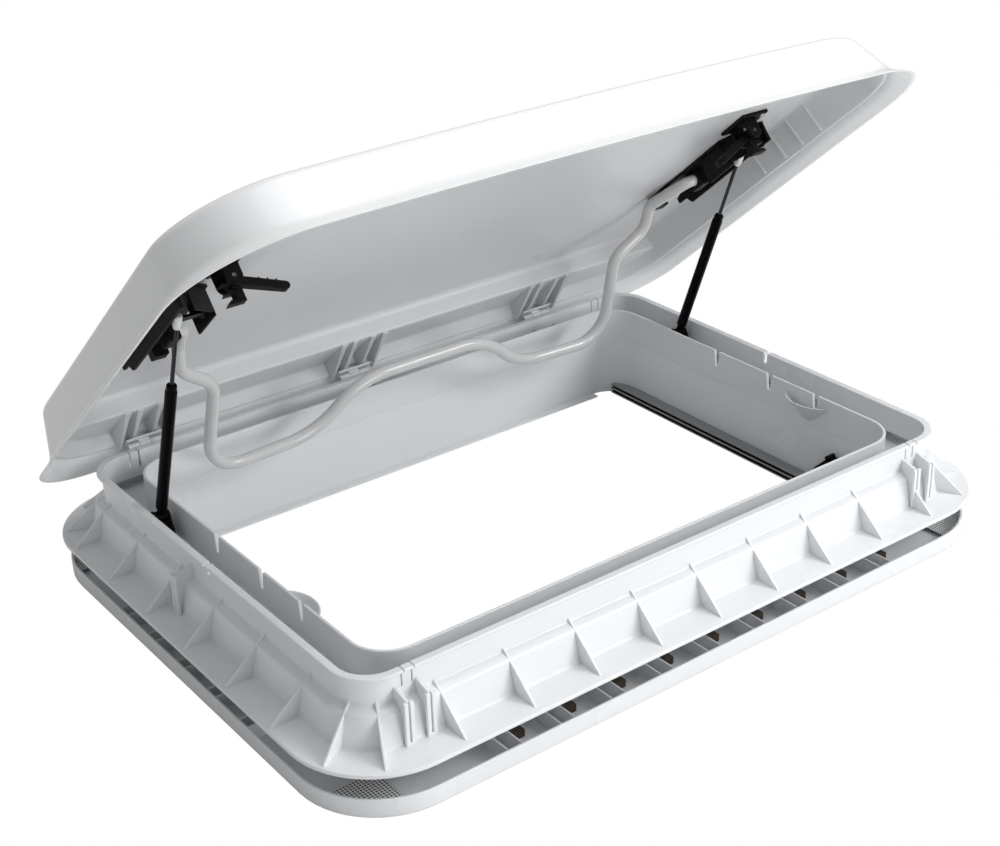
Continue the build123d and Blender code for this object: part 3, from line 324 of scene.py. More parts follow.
def finish_of(name, colour, deep, roughness, haze=0.08, grain=0.05, grain_size=900.0, wave=0.05,
              wave_size=9.0, metallic=0.0, specular=0.5, coat=0.0, coat_roughness=0.1, sheen=0.0):
    """A material of its own with the moulded-surface group before its shader."""
    material = bpy.data.materials.new(name)
    material.use_nodes = True
    tree = material.node_tree
    skin = new_node(tree, "ShaderNodeGroup", node_tree=moulded)
    set_inputs(skin, {"Colour": (*colour, 1), "Deep colour": (*deep, 1), "Roughness": roughness, "Haze": haze,
                      "Grain": grain, "Grain size": grain_size, "Wave": wave, "Wave size": wave_size})
    shader = tree.nodes["Principled BSDF"]
    set_inputs(shader, {"Metallic": metallic, "Specular IOR Level": specular, "Coat Weight": coat,
                        "Coat Roughness": coat_roughness, "Sheen Weight": sheen})
    wire(tree, (skin, "Colour", shader, "Base Color"), (skin, "Roughness", shader, "Roughness"),
         (skin, "Normal", shader, "Normal"))
    return material


def fitted(piece, material, body, slot, *nodes):
    """Give a new piece its finish, its body and the CAD nodes that it stands for."""
    piece.data.materials.clear()
    piece.data.materials.append(material)
    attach(piece, body)
    if nodes:
        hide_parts(*nodes)
    return piece


white_shell = finish_of("white shell ABS", (0.80, 0.815, 0.83), (0.77, 0.785, 0.80), 0.22, wave=0.03)

collar = made("collar", [moulding([
    (flange, 0, 1.2), (flange, flange_high, 1.2),
    (more(rim, 12), flange_high, 2.5), (more(rim, 5), step_low, 2.5),
    (more(rim, -4.5), step_high, 2.0), (more(rim, -4.5), bead_low, 0.8),
    (rim, bead_low, 0.8), (rim, rim_high, 1.0),
    (more(rim, -7.5), rim_high, 1.0), (more(rim, -7.5), step_high, 2.0),
    (more(rim, 2), step_low, 2.0), (more(rim, 3.7), shelf_high, 1.0),
    (shelf, shelf_high, 0.8), (shelf, shelf_low, 0.8),
    (more(rim, 4.4), shelf_low, 1.0), (more(rim, 9), flange_high, 1.0),
    (skirt_inside, flange_high, 0.6), (skirt_inside, skirt_low, 0.6),
    (skirt_outside, skirt_low, 0.6), (skirt_outside, 0, 0.6),
])])

slit_x, slit_half, slit_low = (293, 303), 0.75, 47
notch_half, notch_low, past_rim = 2.5, 53, rim_high + 2
clamp_places = [(sx * 327.75, sy * 140) for sx in (-1, 1) for sy in (-1, 1)]
clamp_places += [(sx * 200, sy * 230.25) for sx in (-1, 1) for sy in (-1, 1)]


def clamp_holes(low, length):
    """The bores of the clamp screws through a wall: straight cylinders that start at a height."""
    bore = [(clamp_bore, 0), (clamp_bore, length)]
    return [spindle(bore, (x, y, low), (x, y, low + length)) for x, y in clamp_places]


cuts = []
for side in (-1, 1):
    for x in slit_x:
        for front in (-1, 1):
            cuts.append(block(side * x - slit_half, side * x + slit_half, front * (rim[1] - 9),
                              front * (rim[1] + 2), slit_low, past_rim, 0.1))
    cuts.append(block(side * (rim[0] - 10), side * (rim[0] + 2), -notch_half, notch_half,
                      notch_low, past_rim, 0.3))
carved(collar, cuts + clamp_holes(15, 20))

web_shape = soft_plate([(-6, 42), (-6, 2), (38, 2), (38, 4.3)], 2.4, 0.5)
long_side_webs = 8 + (np.arange(9) - 4) * 70
short_side_webs = 16 + (np.arange(6) - 2.5) * 74
corner_web_angles = (25, 64)
webs = []
for x in long_side_webs:
    webs += [stood(web_shape, (x, -rim[1]), (0, -1)), stood(web_shape, (x, rim[1]), (0, 1))]
for y in short_side_webs:
    webs += [stood(web_shape, (rim[0], y), (1, 0)), stood(web_shape, (-rim[0], y), (-1, 0))]
for sx, sy in ((1, 1), (-1, 1), (-1, -1), (1, -1)):
    for angle in corner_web_angles:
        out = (sx * math.cos(math.radians(angle)), sy * math.sin(math.radians(angle)))
        base = (sx * (rim[0] - rim[2]) + rim[2] * out[0], sy * (rim[1] - rim[2]) + rim[2] * out[1])
        webs.append(stood(web_shape, base, out))

post_x, post_y, post_wall = (-310, -289, 289, 310), 33, 3
post_web = soft_plate([(-6, 50), (-6, 2), (13.2, 2), (13.2, 45)], post_wall, 0.5)
head = [(-4.5, 2), (4.5, 2), (4.5, 45), (0.75, 45), (0.75, 7), (-0.75, 7), (-0.75, 45), (-4.5, 45)]
head_points, head_groups = soft_plate(head, post_wall, 0.4)
post_head = (np.stack([head_points[:, 2] + 13, head_points[:, 1], head_points[:, 0]], axis=1), head_groups)
for x in post_x:
    webs += [stood(post_web, (x, -rim[1]), (0, -1)), stood(post_head, (x, -rim[1]), (0, -1))]
for side in (-1, 1):
    webs += [stood(post_web, (side * rim[0], post_y), (side, 0)),
             stood(post_head, (side * rim[0], post_y), (side, 0))]

boss_high = shelf_high - skirt_low
boss = [(8, 0), (8, boss_high), (clamp_bore, boss_high), (clamp_bore, 0)]
stay_half, stay_start = 1.5, 7
for x, y in clamp_places:
    webs.append(turned(boss, (x, y, skirt_low), (x, y, shelf_high)))
    if abs(x) > 300:
        stay = (x + math.copysign(stay_start, x), math.copysign(344, x), y - stay_half, y + stay_half)
    else:
        stay = (x - stay_half, x + stay_half, y + math.copysign(stay_start, y), math.copysign(244, y))
    webs.append(block(*stay, skirt_low + 0.3, shelf_low + 0.2))
outer_frame = joined("outer_frame", collar, made("webs", webs))
fitted(outer_frame, white_shell, "frame", "white_shell", "roof_frame")


# Inner ring. A white moulding that stands in the collar: the upper wall of the opening with notches
# for the latches, two half-round cups on the short sides, and the floor of the rain gutter.
white_inner = finish_of("white inner ABS", (0.77, 0.785, 0.80), (0.74, 0.755, 0.77), 0.26, wave=0.03)
opening, ring_outside, gutter = (310, 215, 35), (313, 218, 38), (340.5, 236.5, 29.5)
gutter_floor, ring_high, notch_high = 28.5, 62, 63


def upright(outline, x0, x1, edge=0.4):
    """A plate of (y, z) points between two places along X."""
    points, groups = soft_plate(outline, x1 - x0, edge)
    return np.stack([points[:, 2] + x0, points[:, 0], points[:, 1]], axis=1), groups


def flipped(shape):
    """The same shape on the left side."""
    return shape[0] * np.array([-1, 1, 1]), shape[1]


ring = made("inner_ring", [moulding([
    (opening, shelf_high, 0.5), (opening, ring_high, 0.9),
    (ring_outside, ring_high, 0.9), (ring_outside, gutter_floor, 1.5),
    (gutter, gutter_floor, 0.8), (gutter, shelf_high, 0.5),
])])
latch_notches = [upright([(y - 2, 44), (y + 2, 44), (y + 4, notch_high), (y - 4, notch_high)], 309, 314, 0.1)
                 for y in (43, -37, -104)]
carved(ring, [flipped(notch) for notch in latch_notches] + latch_notches + clamp_holes(21, 12))

cup_y, cup_low, cup_high, cup_small_r, cup_large_r = -93, 29, 53, 21.6, 38.6
cup_wall, cup_axis_x, cup_start_x = 2, 331.6, 311.5
share = np.linspace(-1, 1, 25)
cup_rows = []
for radius, z in ((cup_small_r, cup_low), (cup_large_r, cup_high), (cup_large_r - cup_wall, cup_high),
                  (cup_small_r, cup_low + cup_wall)):
    angle = share * math.acos((cup_axis_x - cup_start_x) / radius)
    cup_rows.append(np.stack([cup_axis_x - radius * np.cos(angle), cup_y + radius * np.sin(angle),
                              np.full(share.size, float(z))], axis=1))
cup = loft(eased(cup_rows, [1.0, 0.7, 0.7, 1.0]), closed_round=False)
inner_ring = joined("inner_ring", ring, made("cups", [flipped(cup), cup]))
fitted(inner_ring, white_inner, "frame", "white_inner", "channel_ring")


# Ceiling frame. A white moulding pressed up against the ceiling: a shallow band round the outside, a
# tray with pairs of ribs that lets air past, the lower wall of the opening, and bosses for the clamp
# screws.
band_outside, tray = (385, 287, 82), (382.5, 284.5, 79.5)
ceiling_low, tray_floor, band_high = -42.5, -40, -23
band = made("band", [moulding([
    (band_outside, ceiling_low, 4.5), (band_outside, band_high, 0.9),
    (tray, band_high, 0.9), (tray, tray_floor, 1.2),
    (ring_outside, tray_floor, 1.2), (ring_outside, shelf_high, 0.5),
    (opening, shelf_high, 0.5), (opening, ceiling_low, 1.5),
], steps=6)])
carved(band, clamp_holes(-46, 10))

bays_x, bays_y = (np.arange(9) - 4) * 56, (np.arange(5) - 2) * 56
rib_out, rib_half, rib_low, rib_high = 7.5, 0.8, tray_floor - 0.8, -25
ribs = []
for x in np.concatenate([bays_x + rib_out, bays_x - rib_out]):
    for side in (-1, 1):
        ribs.append(block(x - rib_half, x + rib_half, side * 217, side * 283.5, rib_low, rib_high, 0.25))
for y in np.concatenate([bays_y + rib_out, bays_y - rib_out]):
    for side in (-1, 1):
        ribs.append(block(side * 312, side * 381.5, y - rib_half, y + rib_half, rib_low, rib_high, 0.25))
sleeve = [(6, 0), (6, 23), (clamp_bore, 23), (clamp_bore, 0)]
for x, y in clamp_places:
    ribs.append(turned(sleeve, (x, y, tray_floor - 0.2), (x, y, 0)))
back_sill = block(-275, 275, 205, 216, ceiling_low, tray_floor, 0.6)
ceiling_frame = joined("ceiling_moulding", band, made("ribs", ribs + [back_sill]))
fitted(ceiling_frame, white_shell, "frame", "white_shell", "ceiling_frame")


# Ventilation pads and corner plates. Blocks of dark brown foam lie on the tray between the ribs and
# in the wide bays beside them, and a perforated grey plate on a foot fills each corner of the tray.
pad_brown = finish_of("brown foam", (0.075, 0.052, 0.038), (0.035, 0.024, 0.018), 0.85, grain=0.9,
                      grain_size=700.0, wave=0.1, wave_size=60.0)
pad_half, pad_high, bay_start, bay_end, bay_pad_high = 5.5, -37, 8.3, 26, -31.5
pads = []
for x in bays_x:
    for side in (-1, 1):
        pads.append(block(x - pad_half, x + pad_half, side * 275.5, side * 284.5, tray_floor, pad_high, 0.7))
        pads.append(block(x + bay_start, x + bay_end, side * 248, side * 262, tray_floor, bay_pad_high, 0.7))
for y in bays_y:
    for side in (-1, 1):
        pads.append(block(side * 373.5, side * 382.5, y - pad_half, y + pad_half, tray_floor, pad_high, 0.7))
        pads.append(block(side * 346, side * 360, y + bay_start, y + bay_end, tray_floor, bay_pad_high, 0.7))
fitted(made("foam_pads", pads), pad_brown, "frame", "pad_brown", "vent_pads")

# The plate's holes are not cut: they are painted shade, near-black dots in its colour, round the middle of
# each cell of a square grid, in place of the shade under the plate.
plate_grey = finish_of("perforated plate", (0.80, 0.805, 0.81), (0.74, 0.745, 0.75), 0.4, grain=0.2)
holes_a_metre, hole_radius, painted_hole_shade = 333, 0.33, (0.02, 0.02, 0.02, 1)
tree = plate_grey.node_tree
place = new_node(tree, "ShaderNodeTexCoord")
rows_apart = new_node(tree, "ShaderNodeVectorMath", {1: (holes_a_metre, holes_a_metre, 0)},
                      operation="MULTIPLY")
cell = new_node(tree, "ShaderNodeVectorMath", operation="FRACTION")
from_middle = new_node(tree, "ShaderNodeVectorMath", {1: (0.5, 0.5, 0)}, operation="DISTANCE")
solid = new_node(tree, "ShaderNodeMath", {1: hole_radius}, operation="GREATER_THAN")
# Where there is a hole the plate takes the near-black painted shade; the solid plate keeps the group's
# colour.
dotted = new_node(tree, "ShaderNodeMix", {6: painted_hole_shade}, data_type="RGBA")
wire(tree, (place, "Object", rows_apart, 0), (rows_apart, 0, cell, 0), (cell, 0, from_middle, 0),
     (from_middle, "Value", solid, 0), (solid, 0, dotted, 0), (tree.nodes["Group"], "Colour", dotted, 7),
     (dotted, 2, tree.nodes["Principled BSDF"], "Base Color"))

arc_x, arc_y, arc_radius = tray[0] - tray[2], tray[1] - tray[2], tray[2]
corner_cut, plate_wall, plate_low, foot_radius = 20, 1.2, -37, 3
angle = np.linspace(math.asin(corner_cut / arc_radius), math.acos(corner_cut / arc_radius), 19)
arc = np.stack([arc_x + arc_radius * np.cos(angle), arc_y + arc_radius * np.sin(angle)], axis=1)
plate_outline = np.vstack([[(arc_x + corner_cut, arc_y + corner_cut)], arc])
plates = []
for sx in (-1, 1):
    for sy in (-1, 1):
        points, groups = soft_plate(plate_outline * np.array([sx, sy]), plate_wall, 0.3)
        plates.append((points + np.array([0, 0, plate_low]), groups))
        foot = (sx * 354, sy * 256, tray_floor)
        plates.append(spindle([(foot_radius, 0), (foot_radius, 3.2)], foot, (*foot[:2], 0), ease=0.3))
fitted(made("corner_plates", plates), plate_grey, "frame", "mesh_grey", "corner_mesh")


# Lid, outer skin. A blow-moulded white acrylic dome: a lip that flares out, walls that lean in and a
# low crown. It is drawn closed, in distances in from the lip and up from it, and turned open.
lip_y, lip_z, lid_half, lid_depth = 277.2, 55.5, 404, 574
hinge_y, hinge_z, open_angle = 252.2, 62.5, math.radians(-40.5)
lid_corner, front_bow, back_corner_share = 100, 14, 0.7


def opened(points):
    """Turn closed-lid points about the hinge: y' = y cos - z sin, z' = y sin + z cos."""
    y, z = points[..., 1] - hinge_y, points[..., 2] - hinge_z
    turned_y = hinge_y + y * math.cos(open_angle) - z * math.sin(open_angle)
    turned_z = hinge_z + y * math.sin(open_angle) + z * math.cos(open_angle)
    return np.stack([points[..., 0], turned_y, turned_z], axis=-1)


def lid_outline(ins, rise, steps=16, front_steps=22):
    """A rounded rectangle drawn in by (side, front, back), with tighter corners at the back. Its front
    half moves out by bow * (1 - (x / half)^2), which bows the front edge and dies away at the sides."""
    side, front, back_in = ins
    half = lid_half - side
    y_back, y_front = lip_y - back_in, lip_y - lid_depth + front
    radius = lid_corner - 0.5 * side
    deep = (y_back - y_front) / 2
    behind = rounded_outline(half, deep, back_corner_share * radius, lip_z + rise, steps)[:2 * steps]
    before = rounded_outline(half, deep, radius, lip_z + rise, steps)[2 * steps:]
    corners = np.vstack([behind, before])
    corners[:, 1] += (y_back + y_front) / 2
    across = np.linspace(radius - half, half - radius, front_steps)[1:-1]
    edge = np.stack([across, np.full(len(across), y_front), np.full(len(across), lip_z + rise)], axis=1)
    outline = np.vstack([corners[:3 * steps], edge, corners[3 * steps:]])
    ahead = outline[:, 1] < (y_back + y_front) / 2
    outline[:, 1] -= np.where(ahead, front_bow * (1 - (outline[:, 0] / half) ** 2), 0)
    return outline


def lid_place(x, inward, rise):
    """A place of the open lid, or an array of them, from x, the distance in and the height."""
    return opened(np.stack([x, lip_y - inward, lip_z + rise], axis=-1))


lip, shoulder, wall, skin = (0, 0, 0), (14, 14, 14), (22, 36, 30), 3.5
skin_out = [(more(wall, 170), 66), (more(wall, 70), 66), (more(wall, 25), 64), (wall, 60),
            (shoulder, 10), (lip, 0)]
skin_in = [(lip, 0), (shoulder, 10), (wall, 57), (more(wall, 25), 61), (more(wall, 70), 63),
           (more(wall, 170), 63)]
dome_rows = [lid_outline(ins, rise) for ins, rise in skin_out]
dome_rows += [lid_outline(more(ins, skin), rise) for ins, rise in skin_in]
dome_radii = [0, 30, 14, 9, 7, 1.4, 1.4, 7, 9, 14, 30, 0]
dome_rows = opened(eased(dome_rows, dome_radii, closed=False, steps=7))
dome = made("lid_skin", [loft(dome_rows, closed_rows=False, cap_start=True, cap_end=True)])
lid_white = finish_of("white acrylic dome", (0.82, 0.83, 0.84), (0.80, 0.81, 0.82), 0.16, haze=0.05,
                      wave=0.04, wave_size=5.0, grain=0.02, specular=0.15)
fitted(dome, lid_white, "lid", "lid_outer", "lid_dome")


# Lid, inner skin. A thinner acrylic sheet drawn into a deep pan and bonded inside the lip, with a
# ledge over the hinges, fins below the ledge, and shallow ribs on its side walls.
foot_ins, top_ins, bond_ins = (21.5, 23, 21.5), (33, 48, 38), (18.5, 19.6, 19.1)
pan_foot, bond_rise, pan_top, pan_wall = 14, 16.3, 52, 2.4
ledge_in, ledge_rise = 80, 29
middle_shrink = 0.93


def pan_row(rise, ledge=False):
    """The pan's outline at a height; behind the ledge's edge it is pushed forward onto that edge."""
    share_up = (rise - pan_foot) / (pan_top - pan_foot)
    outline = lid_outline(tuple(a + (b - a) * share_up for a, b in zip(foot_ins, top_ins)), rise)
    if ledge:
        outline[:, 1] = np.minimum(outline[:, 1], lip_y - ledge_in)
    return outline


pan_rows = [lid_outline(bond_ins, bond_rise), lid_outline(bond_ins, pan_foot), pan_row(pan_foot),
            pan_row(ledge_rise), pan_row(ledge_rise, True), pan_row(pan_top, True)]
inner = pan_rows[-1].copy()
centre = inner.mean(axis=0)
inner[:, :2] = centre[:2] + (inner[:, :2] - centre[:2]) * middle_shrink
pan_rows.append(inner)
pan_rows = opened(eased(pan_rows, [0, 0.8, 2.5, 3, 3, 9, 0], closed=False, steps=6))
pan = made("pan", [loft(pan_rows, closed_rows=False, cap_end=True)], smooth=50)
pan.modifiers.clear()
sheet = pan.modifiers.new("sheet", "SOLIDIFY")
sheet.thickness = pan_wall * MM
sheet.offset = -1


def drafted_fin(outline, x):
    """A fin of (in, up) points under the ledge, with the draft of a moulding: its wall's thickness times
    0.7 + 2 (up - low) / (high - low)."""
    points, groups = soft_plate(outline, fin_wall, 0.4)
    draft = 0.7 + 2.0 * (points[:, 1] - fin_low) / (fin_high - fin_low)
    return lid_place(x + (points[:, 2] - fin_wall / 2) * draft, points[:, 0], points[:, 1]), groups


def side_rib(distance, side):
    """A rib on a side wall of the pan, at a distance in from the back lip."""
    points, groups = soft_plate([(377.5, 16.5), (382, 16.5), (372, 51), (370.5, 51)], 2.5, 0.4)
    return lid_place(side * points[:, 0], distance + points[:, 2], points[:, 1]), groups


hinge_x = (-279, -29, 221)
fin_wall, fin_low, fin_high = 2.6, 11.2, 30
long_fin = [(80, 30), (80, 27.5), (26, 9.8), (21, 9.8), (21, 15), (27, 30)]
short_fin = [(80, 30), (80, 27.5), (38, 15.2), (23, 15.2), (27, 30)]
fins = [drafted_fin(outline, x + offset) for x in hinge_x
        for offset, outline in ((-25, long_fin), (-11, short_fin), (11, short_fin), (26, long_fin))]
side_ribs = [side_rib(distance, side) for distance in (300, 338, 368, 400) for side in (-1, 1)]
pan_white = finish_of("pan acrylic", (0.70, 0.71, 0.72), (0.66, 0.67, 0.68), 0.24, haze=0.1, wave=0.10,
                      wave_size=7.0, grain=0.02)
fitted(pan, pan_white, "lid", "lid_inner", "lid_pan")
fitted(made("pan_fins", fins + side_ribs), pan_white, "lid", "lid_inner")


# Guide rails. Grey extruded plastic on the two short sides of the opening, each with a black flocked
# groove for the blind and one for the flyscreen. Their ends follow the opening's rounded corners.
def run_of(corners, ease=0.35):
    """A bar whose section changes along it. Each corner of the section is a row of points, one for every
    station, and the ends are flat."""
    rows = eased(corners, ease).transpose(1, 0, 2)
    points, groups = loft(rows, closed_rows=False)
    number = np.arange(rows.shape[1])
    return points, groups + [number[None, ::-1], number[None, :] + len(points) - len(number)]


def wall_reach(distance, start, radius=opening[2]):
    """How far the opening's wall reaches beside a rounded corner: start + sqrt(r^2 - d^2), where d is how
    far the place lies inside the corner's quarter circle."""
    return start + np.sqrt(radius ** 2 - np.maximum(distance, 0) ** 2)


# The grooves' flock is black colour inside the rail's face, in the one band of heights between its lips.
rail_grey = finish_of("rail plastic", (0.34, 0.345, 0.35), (0.29, 0.295, 0.30), 0.36, grain=0.3)
face_x, grooves_z, grooves_half = 0.2967, -0.0367, 0.0048
tree = rail_grey.node_tree
place = new_node(tree, "ShaderNodeTexCoord")
axes = new_node(tree, "ShaderNodeSeparateXYZ")
away = new_node(tree, "ShaderNodeMath", operation="ABSOLUTE")
behind_face = new_node(tree, "ShaderNodeMath", {1: face_x}, operation="GREATER_THAN")
in_grooves = new_node(tree, "ShaderNodeMath", {1: grooves_z, 2: grooves_half}, operation="COMPARE")
flocked = new_node(tree, "ShaderNodeMath", operation="MULTIPLY")
flock = new_node(tree, "ShaderNodeMix", {7: (0.006, 0.006, 0.006, 1)}, data_type="RGBA")
wire(tree, (place, "Object", axes, 0), (axes, "X", away, 0), (away, 0, behind_face, 0),
     (axes, "Z", in_grooves, 0), (behind_face, 0, flocked, 0), (in_grooves, 0, flocked, 1),
     (flocked, 0, flock, 0), (tree.nodes["Group"], "Colour", flock, 6),
     (flock, 2, tree.nodes["Principled BSDF"], "Base Color"))

rail_face, groove_floor = 296, 304.5
rail_corners = [(rail_face, ceiling_low), (opening[0], ceiling_low), (opening[0], -31), (rail_face, -31),
                (rail_face, -32.4), (groove_floor, -32.4), (groove_floor, -35.6), (rail_face, -35.6),
                (rail_face, -37.8), (groove_floor, -37.8), (groove_floor, -41), (rail_face, -41)]
rail_end, corner_x, corner_y = 205, opening[0] - opening[2], opening[1] - opening[2]
wall_gap, face_gap = 0.1, 1
stations = np.concatenate([np.linspace(-rail_end, -corner_y, 8), np.linspace(corner_y, rail_end, 8)])
reach = wall_reach(np.abs(stations) - corner_y, corner_x)
rail = run_of([np.stack([np.minimum(x, reach - (wall_gap if x > groove_floor else face_gap)), stations,
                         np.full(stations.size, z)], axis=1) for x, z in rail_corners])
fitted(made("rail_right", [rail]), rail_grey, "frame", "rail_grey", "guide_rail_right")
fitted(made("rail_left", [flipped(rail)]), rail_grey, "frame", "rail_grey", "guide_rail_left")


# Screen cassette. A white cover over the folded screens at the front of the opening, with a turned-down
# edge, and a black nylon end cap on each rail with a sloping nose and a round knob.
cover_end, cover_back, cover_front, cover_inside, cover_high = 300, -140, -215, -205, 2
cover_corners = [(cover_front, cover_high), (cover_back, cover_high), (cover_back, -8), (-142, -8), (-142, 0),
                 (cover_inside, 0), (cover_inside, ceiling_low), (cover_front, ceiling_low)]
inside_gap = 3
stations = np.concatenate([-np.linspace(cover_end, corner_x, 6), np.linspace(corner_x, cover_end, 6)])
reach = -wall_reach(np.abs(stations) - corner_x, corner_y)
cover = run_of([np.stack([stations, np.maximum(y, reach + (wall_gap if y < cover_inside else inside_gap)),
                          np.full(stations.size, z)], axis=1) for y, z in cover_corners],
               ease=[0.8, 1.6, 0.7, 0.7, 0.8, 0.8, 0.7, 0.8])
fitted(made("screen_cover", [cover]), white_inner, "frame", "white_inner", "cassette_cover")

black_nylon = finish_of("black nylon", (0.004, 0.004, 0.0045), (0.003, 0.003, 0.0035), 0.46, grain=0.6,
                        grain_size=1400.0, wave=0.06, wave_size=30.0, specular=0.12)
cap_corners = [(cover_front, -31), (-116, -31), (-116, -15), (-134, 3), (cover_front, 3)]
stations = np.linspace(cover_end, 309.9, 6)
reach = -wall_reach(stations - corner_x, corner_y)
cap_body = run_of([np.stack([stations, np.maximum(y, reach + wall_gap), np.full(stations.size, z)], axis=1)
                   for y, z in cap_corners], ease=[0.5, 0.8, 2.5, 2.5, 0.6])
cap = [cap_body, spindle([(3, 0), (3, 9.9)], (cover_end, -134, 3), (opening[0], -134, 3), ease=0.3)]
fitted(made("end_cap_right", cap), black_nylon, "frame", "black_plastic", "cassette_end_cap_right")
fitted(made("end_cap_left", [flipped(shape) for shape in cap]), black_nylon, "frame", "black_plastic",
       "cassette_end_cap_left")


# Pull bars. Satin anodised aluminium, with a finger groove along the top and a tab at each end that
# runs in the rail.
anodised = finish_of("anodised aluminium", (0.62, 0.625, 0.63), (0.56, 0.565, 0.57), 0.30, grain=0.35,
                     metallic=1.0)
net_z, cloth_z = -34.0, -39.4
bar_end, bar_front, bar_back, tab_half = 295.5, -150, -138, 1.3
for name, bar_z, height in (("flyscreen", net_z, 5.4), ("blind", cloth_z, 4.2)):
    low, high = bar_z - height / 2, bar_z + height / 2
    bar_corners = [(bar_front, low), (bar_back, low), (bar_back, high), (-141.5, high), (-142.5, high - 1),
                   (-145.5, high - 1), (-146.5, high), (bar_front, high)]
    bar = [run_of([np.array([(-bar_end, y, z), (bar_end, y, z)]) for y, z in bar_corners], ease=0.5)]
    for side in (-1, 1):
        bar.append(block(side * 295, side * 303.5, -149, -139, bar_z - tab_half, bar_z + tab_half, 0.3))
    fitted(made(name + "_pull_bar", bar), anodised, name, "bar_grey", name + "_bar")


# Folded screens. A black net and a pale blackout cloth, each one sheet in small pleats between the
# cassette and its bar. On the sunroof the bar draws the pleats open as it slides; here the pleats stay
# parked and do not follow the bar.
chance = np.random.default_rng(4)
net = finish_of("black net", (0.020, 0.020, 0.021), (0.014, 0.014, 0.015), 0.85, grain=0.9,
                grain_size=2600.0, sheen=0.3)
cloth = finish_of("blackout cloth", (0.62, 0.62, 0.60), (0.55, 0.55, 0.53), 0.80, grain=0.8,
                  grain_size=2200.0, sheen=0.2)
folds, sheet_start, parked_depth = 77, -204.5, 54.0
across = np.linspace(-293.2, 293.2, 61)
for name, middle, height, material, slot, length in (("flyscreen", net_z, 5.0, net, "net_dark", 0.368),
                                                     ("blind", cloth_z, 3.6, cloth, "blind_cloth", 0.262)):
    rows = []
    for i in range(folds):
        rise = (0.5 if i % 2 else -0.5) * height * (1 - 0.08 * chance.random())
        y = sheet_start + parked_depth * i / (folds - 1)
        sway = 0.12 * np.sin(across / 47 + i * 0.7) * min(i, folds - 1 - i) / folds
        rows.append(np.stack([across, y + sway, np.full(across.size, middle + rise)], axis=1))
    rows = eased(rows, 0.3, closed=False)
    pleats = made(name + "_pleats", [loft(rows, closed_rows=False, closed_round=False)], smooth=180)
    pleats.modifiers.clear()
    pleats.data.materials.append(material)
    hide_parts(name + "_pack")
    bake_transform(pleats)


# Hinges and small steel parts. White-coated leaves with rolled knuckles on the collar's back wall and
# under the pan, zinc-plated pins through them, and pan-head screws with a cross recess.
def aimed(shape, origin, axis):
    """A shape drawn in (u, v, w), with w laid along an axis from an origin."""
    axis = np.array(axis, float) / np.linalg.norm(axis)
    helper = np.array([1.0, 0, 0]) if abs(axis[0]) < 0.9 else np.array([0, 1.0, 0])
    side = np.cross(helper, axis)
    side /= np.linalg.norm(side)
    base = np.array([side, np.cross(axis, side), axis])
    return shape[0] @ base + np.array(origin, float), shape[1]


def pan_head(origin, axis, radius, height):
    """The head of a screw: a domed disc that stands on its seat."""
    profile = [(radius, 0), (radius, 0.45 * height), (0.75 * radius, 0.9 * height), (0.3 * radius, height)]
    end = np.array(origin, float) + np.array(axis, float)
    return spindle(profile, origin, end, steps=28, ease=0.3)


def lid_block(x0, x1, in0, in1, rise0, rise1, edge=0.4):
    """A softened box in the lid's own distances."""
    points, groups = block(x0, x1, lip_y - in1, lip_y - in0, lip_z + rise0, lip_z + rise1, edge)
    return opened(points), groups


def cross_recess(origin, axis, radius, height):
    """The cross that is cut into a screw's head: twelve corners at two distances from its middle."""
    a, b = 0.11 * radius, 0.48 * radius
    cross = [(a, -a), (b, -a), (b, a), (a, a), (a, b), (-a, b),
             (-a, a), (-b, a), (-b, -a), (-a, -a), (-a, -b), (a, -b)]
    axis = np.array(axis, float) / np.linalg.norm(axis)
    return aimed(soft_plate(cross, height, 0.01), np.array(origin) + axis * 0.45 * height, axis)


def screws(name, seats, radius, height, shank):
    """Screws on a list of (seat, direction), each with a shank behind its seat."""
    heads = [pan_head(seat, axis, radius, height) for seat, axis in seats]
    piece = made(name, heads)
    carved(piece, [cross_recess(seat, axis, radius, height) for seat, axis in seats])
    shanks = [spindle([(1.5, -shank), (1.5, 0.1)], seat, np.array(seat) + np.array(axis), steps=16)
              for seat, axis in seats]
    return joined(name, piece, made(name + "_shanks", shanks))


def on_hinge(x):
    """A place on the axis of the hinges."""
    return x, hinge_y, hinge_z


zinc = finish_of("zinc-plated steel", (0.52, 0.53, 0.54), (0.42, 0.43, 0.44), 0.30, haze=0.15,
                 grain=0.3, wave_size=40.0, metallic=1.0)
coated_steel = finish_of("white coated steel", (0.70, 0.71, 0.72), (0.66, 0.67, 0.68), 0.32, grain=0.1)
knuckle = [(4.2, 0), (4.2, 12), (2.05, 12), (2.05, 0)]
hinge_pin = [(1.4, 0), (2, 0.6), (2, 36.2), (1.4, 36.8)]
leaf_half, knuckle_start, knuckle_end, lid_knuckle_half = 20, 6.4, 18.4, 6
leaf_front, leaf_back = 240.5, 243.5
leaves, lid_leaves, pins, seats = [], [], [], []
for x in hinge_x:
    leaves.append(block(x - leaf_half, x + leaf_half, leaf_front, leaf_back, 44, 60, 0.6))
    for side in (-1, 1):
        near, far = x + side * knuckle_start, x + side * knuckle_end
        leaves.append(block(near, far, leaf_front, hinge_y, 57, 60, 0.4))
        leaves.append(turned(knuckle, on_hinge(near), on_hinge(far)))
        seats.append(((x + side * 14, leaf_back, 52), (0, 1, 0)))
    near, far = x - lid_knuckle_half, x + lid_knuckle_half
    lid_leaves.append(lid_block(x - leaf_half, x + leaf_half, 21, 34, 11.8, pan_foot, 0.4))
    lid_leaves.append(lid_block(near, far, 23.5, 28, 7, 12, 0.3))
    lid_leaves.append(turned(knuckle, on_hinge(near), on_hinge(far)))
    pins.append(spindle(hinge_pin, on_hinge(x - knuckle_end), on_hinge(x), ease=0.3))
fitted(made("hinge_leaves", leaves), coated_steel, "frame", "steel", "hinge_leaves_frame")
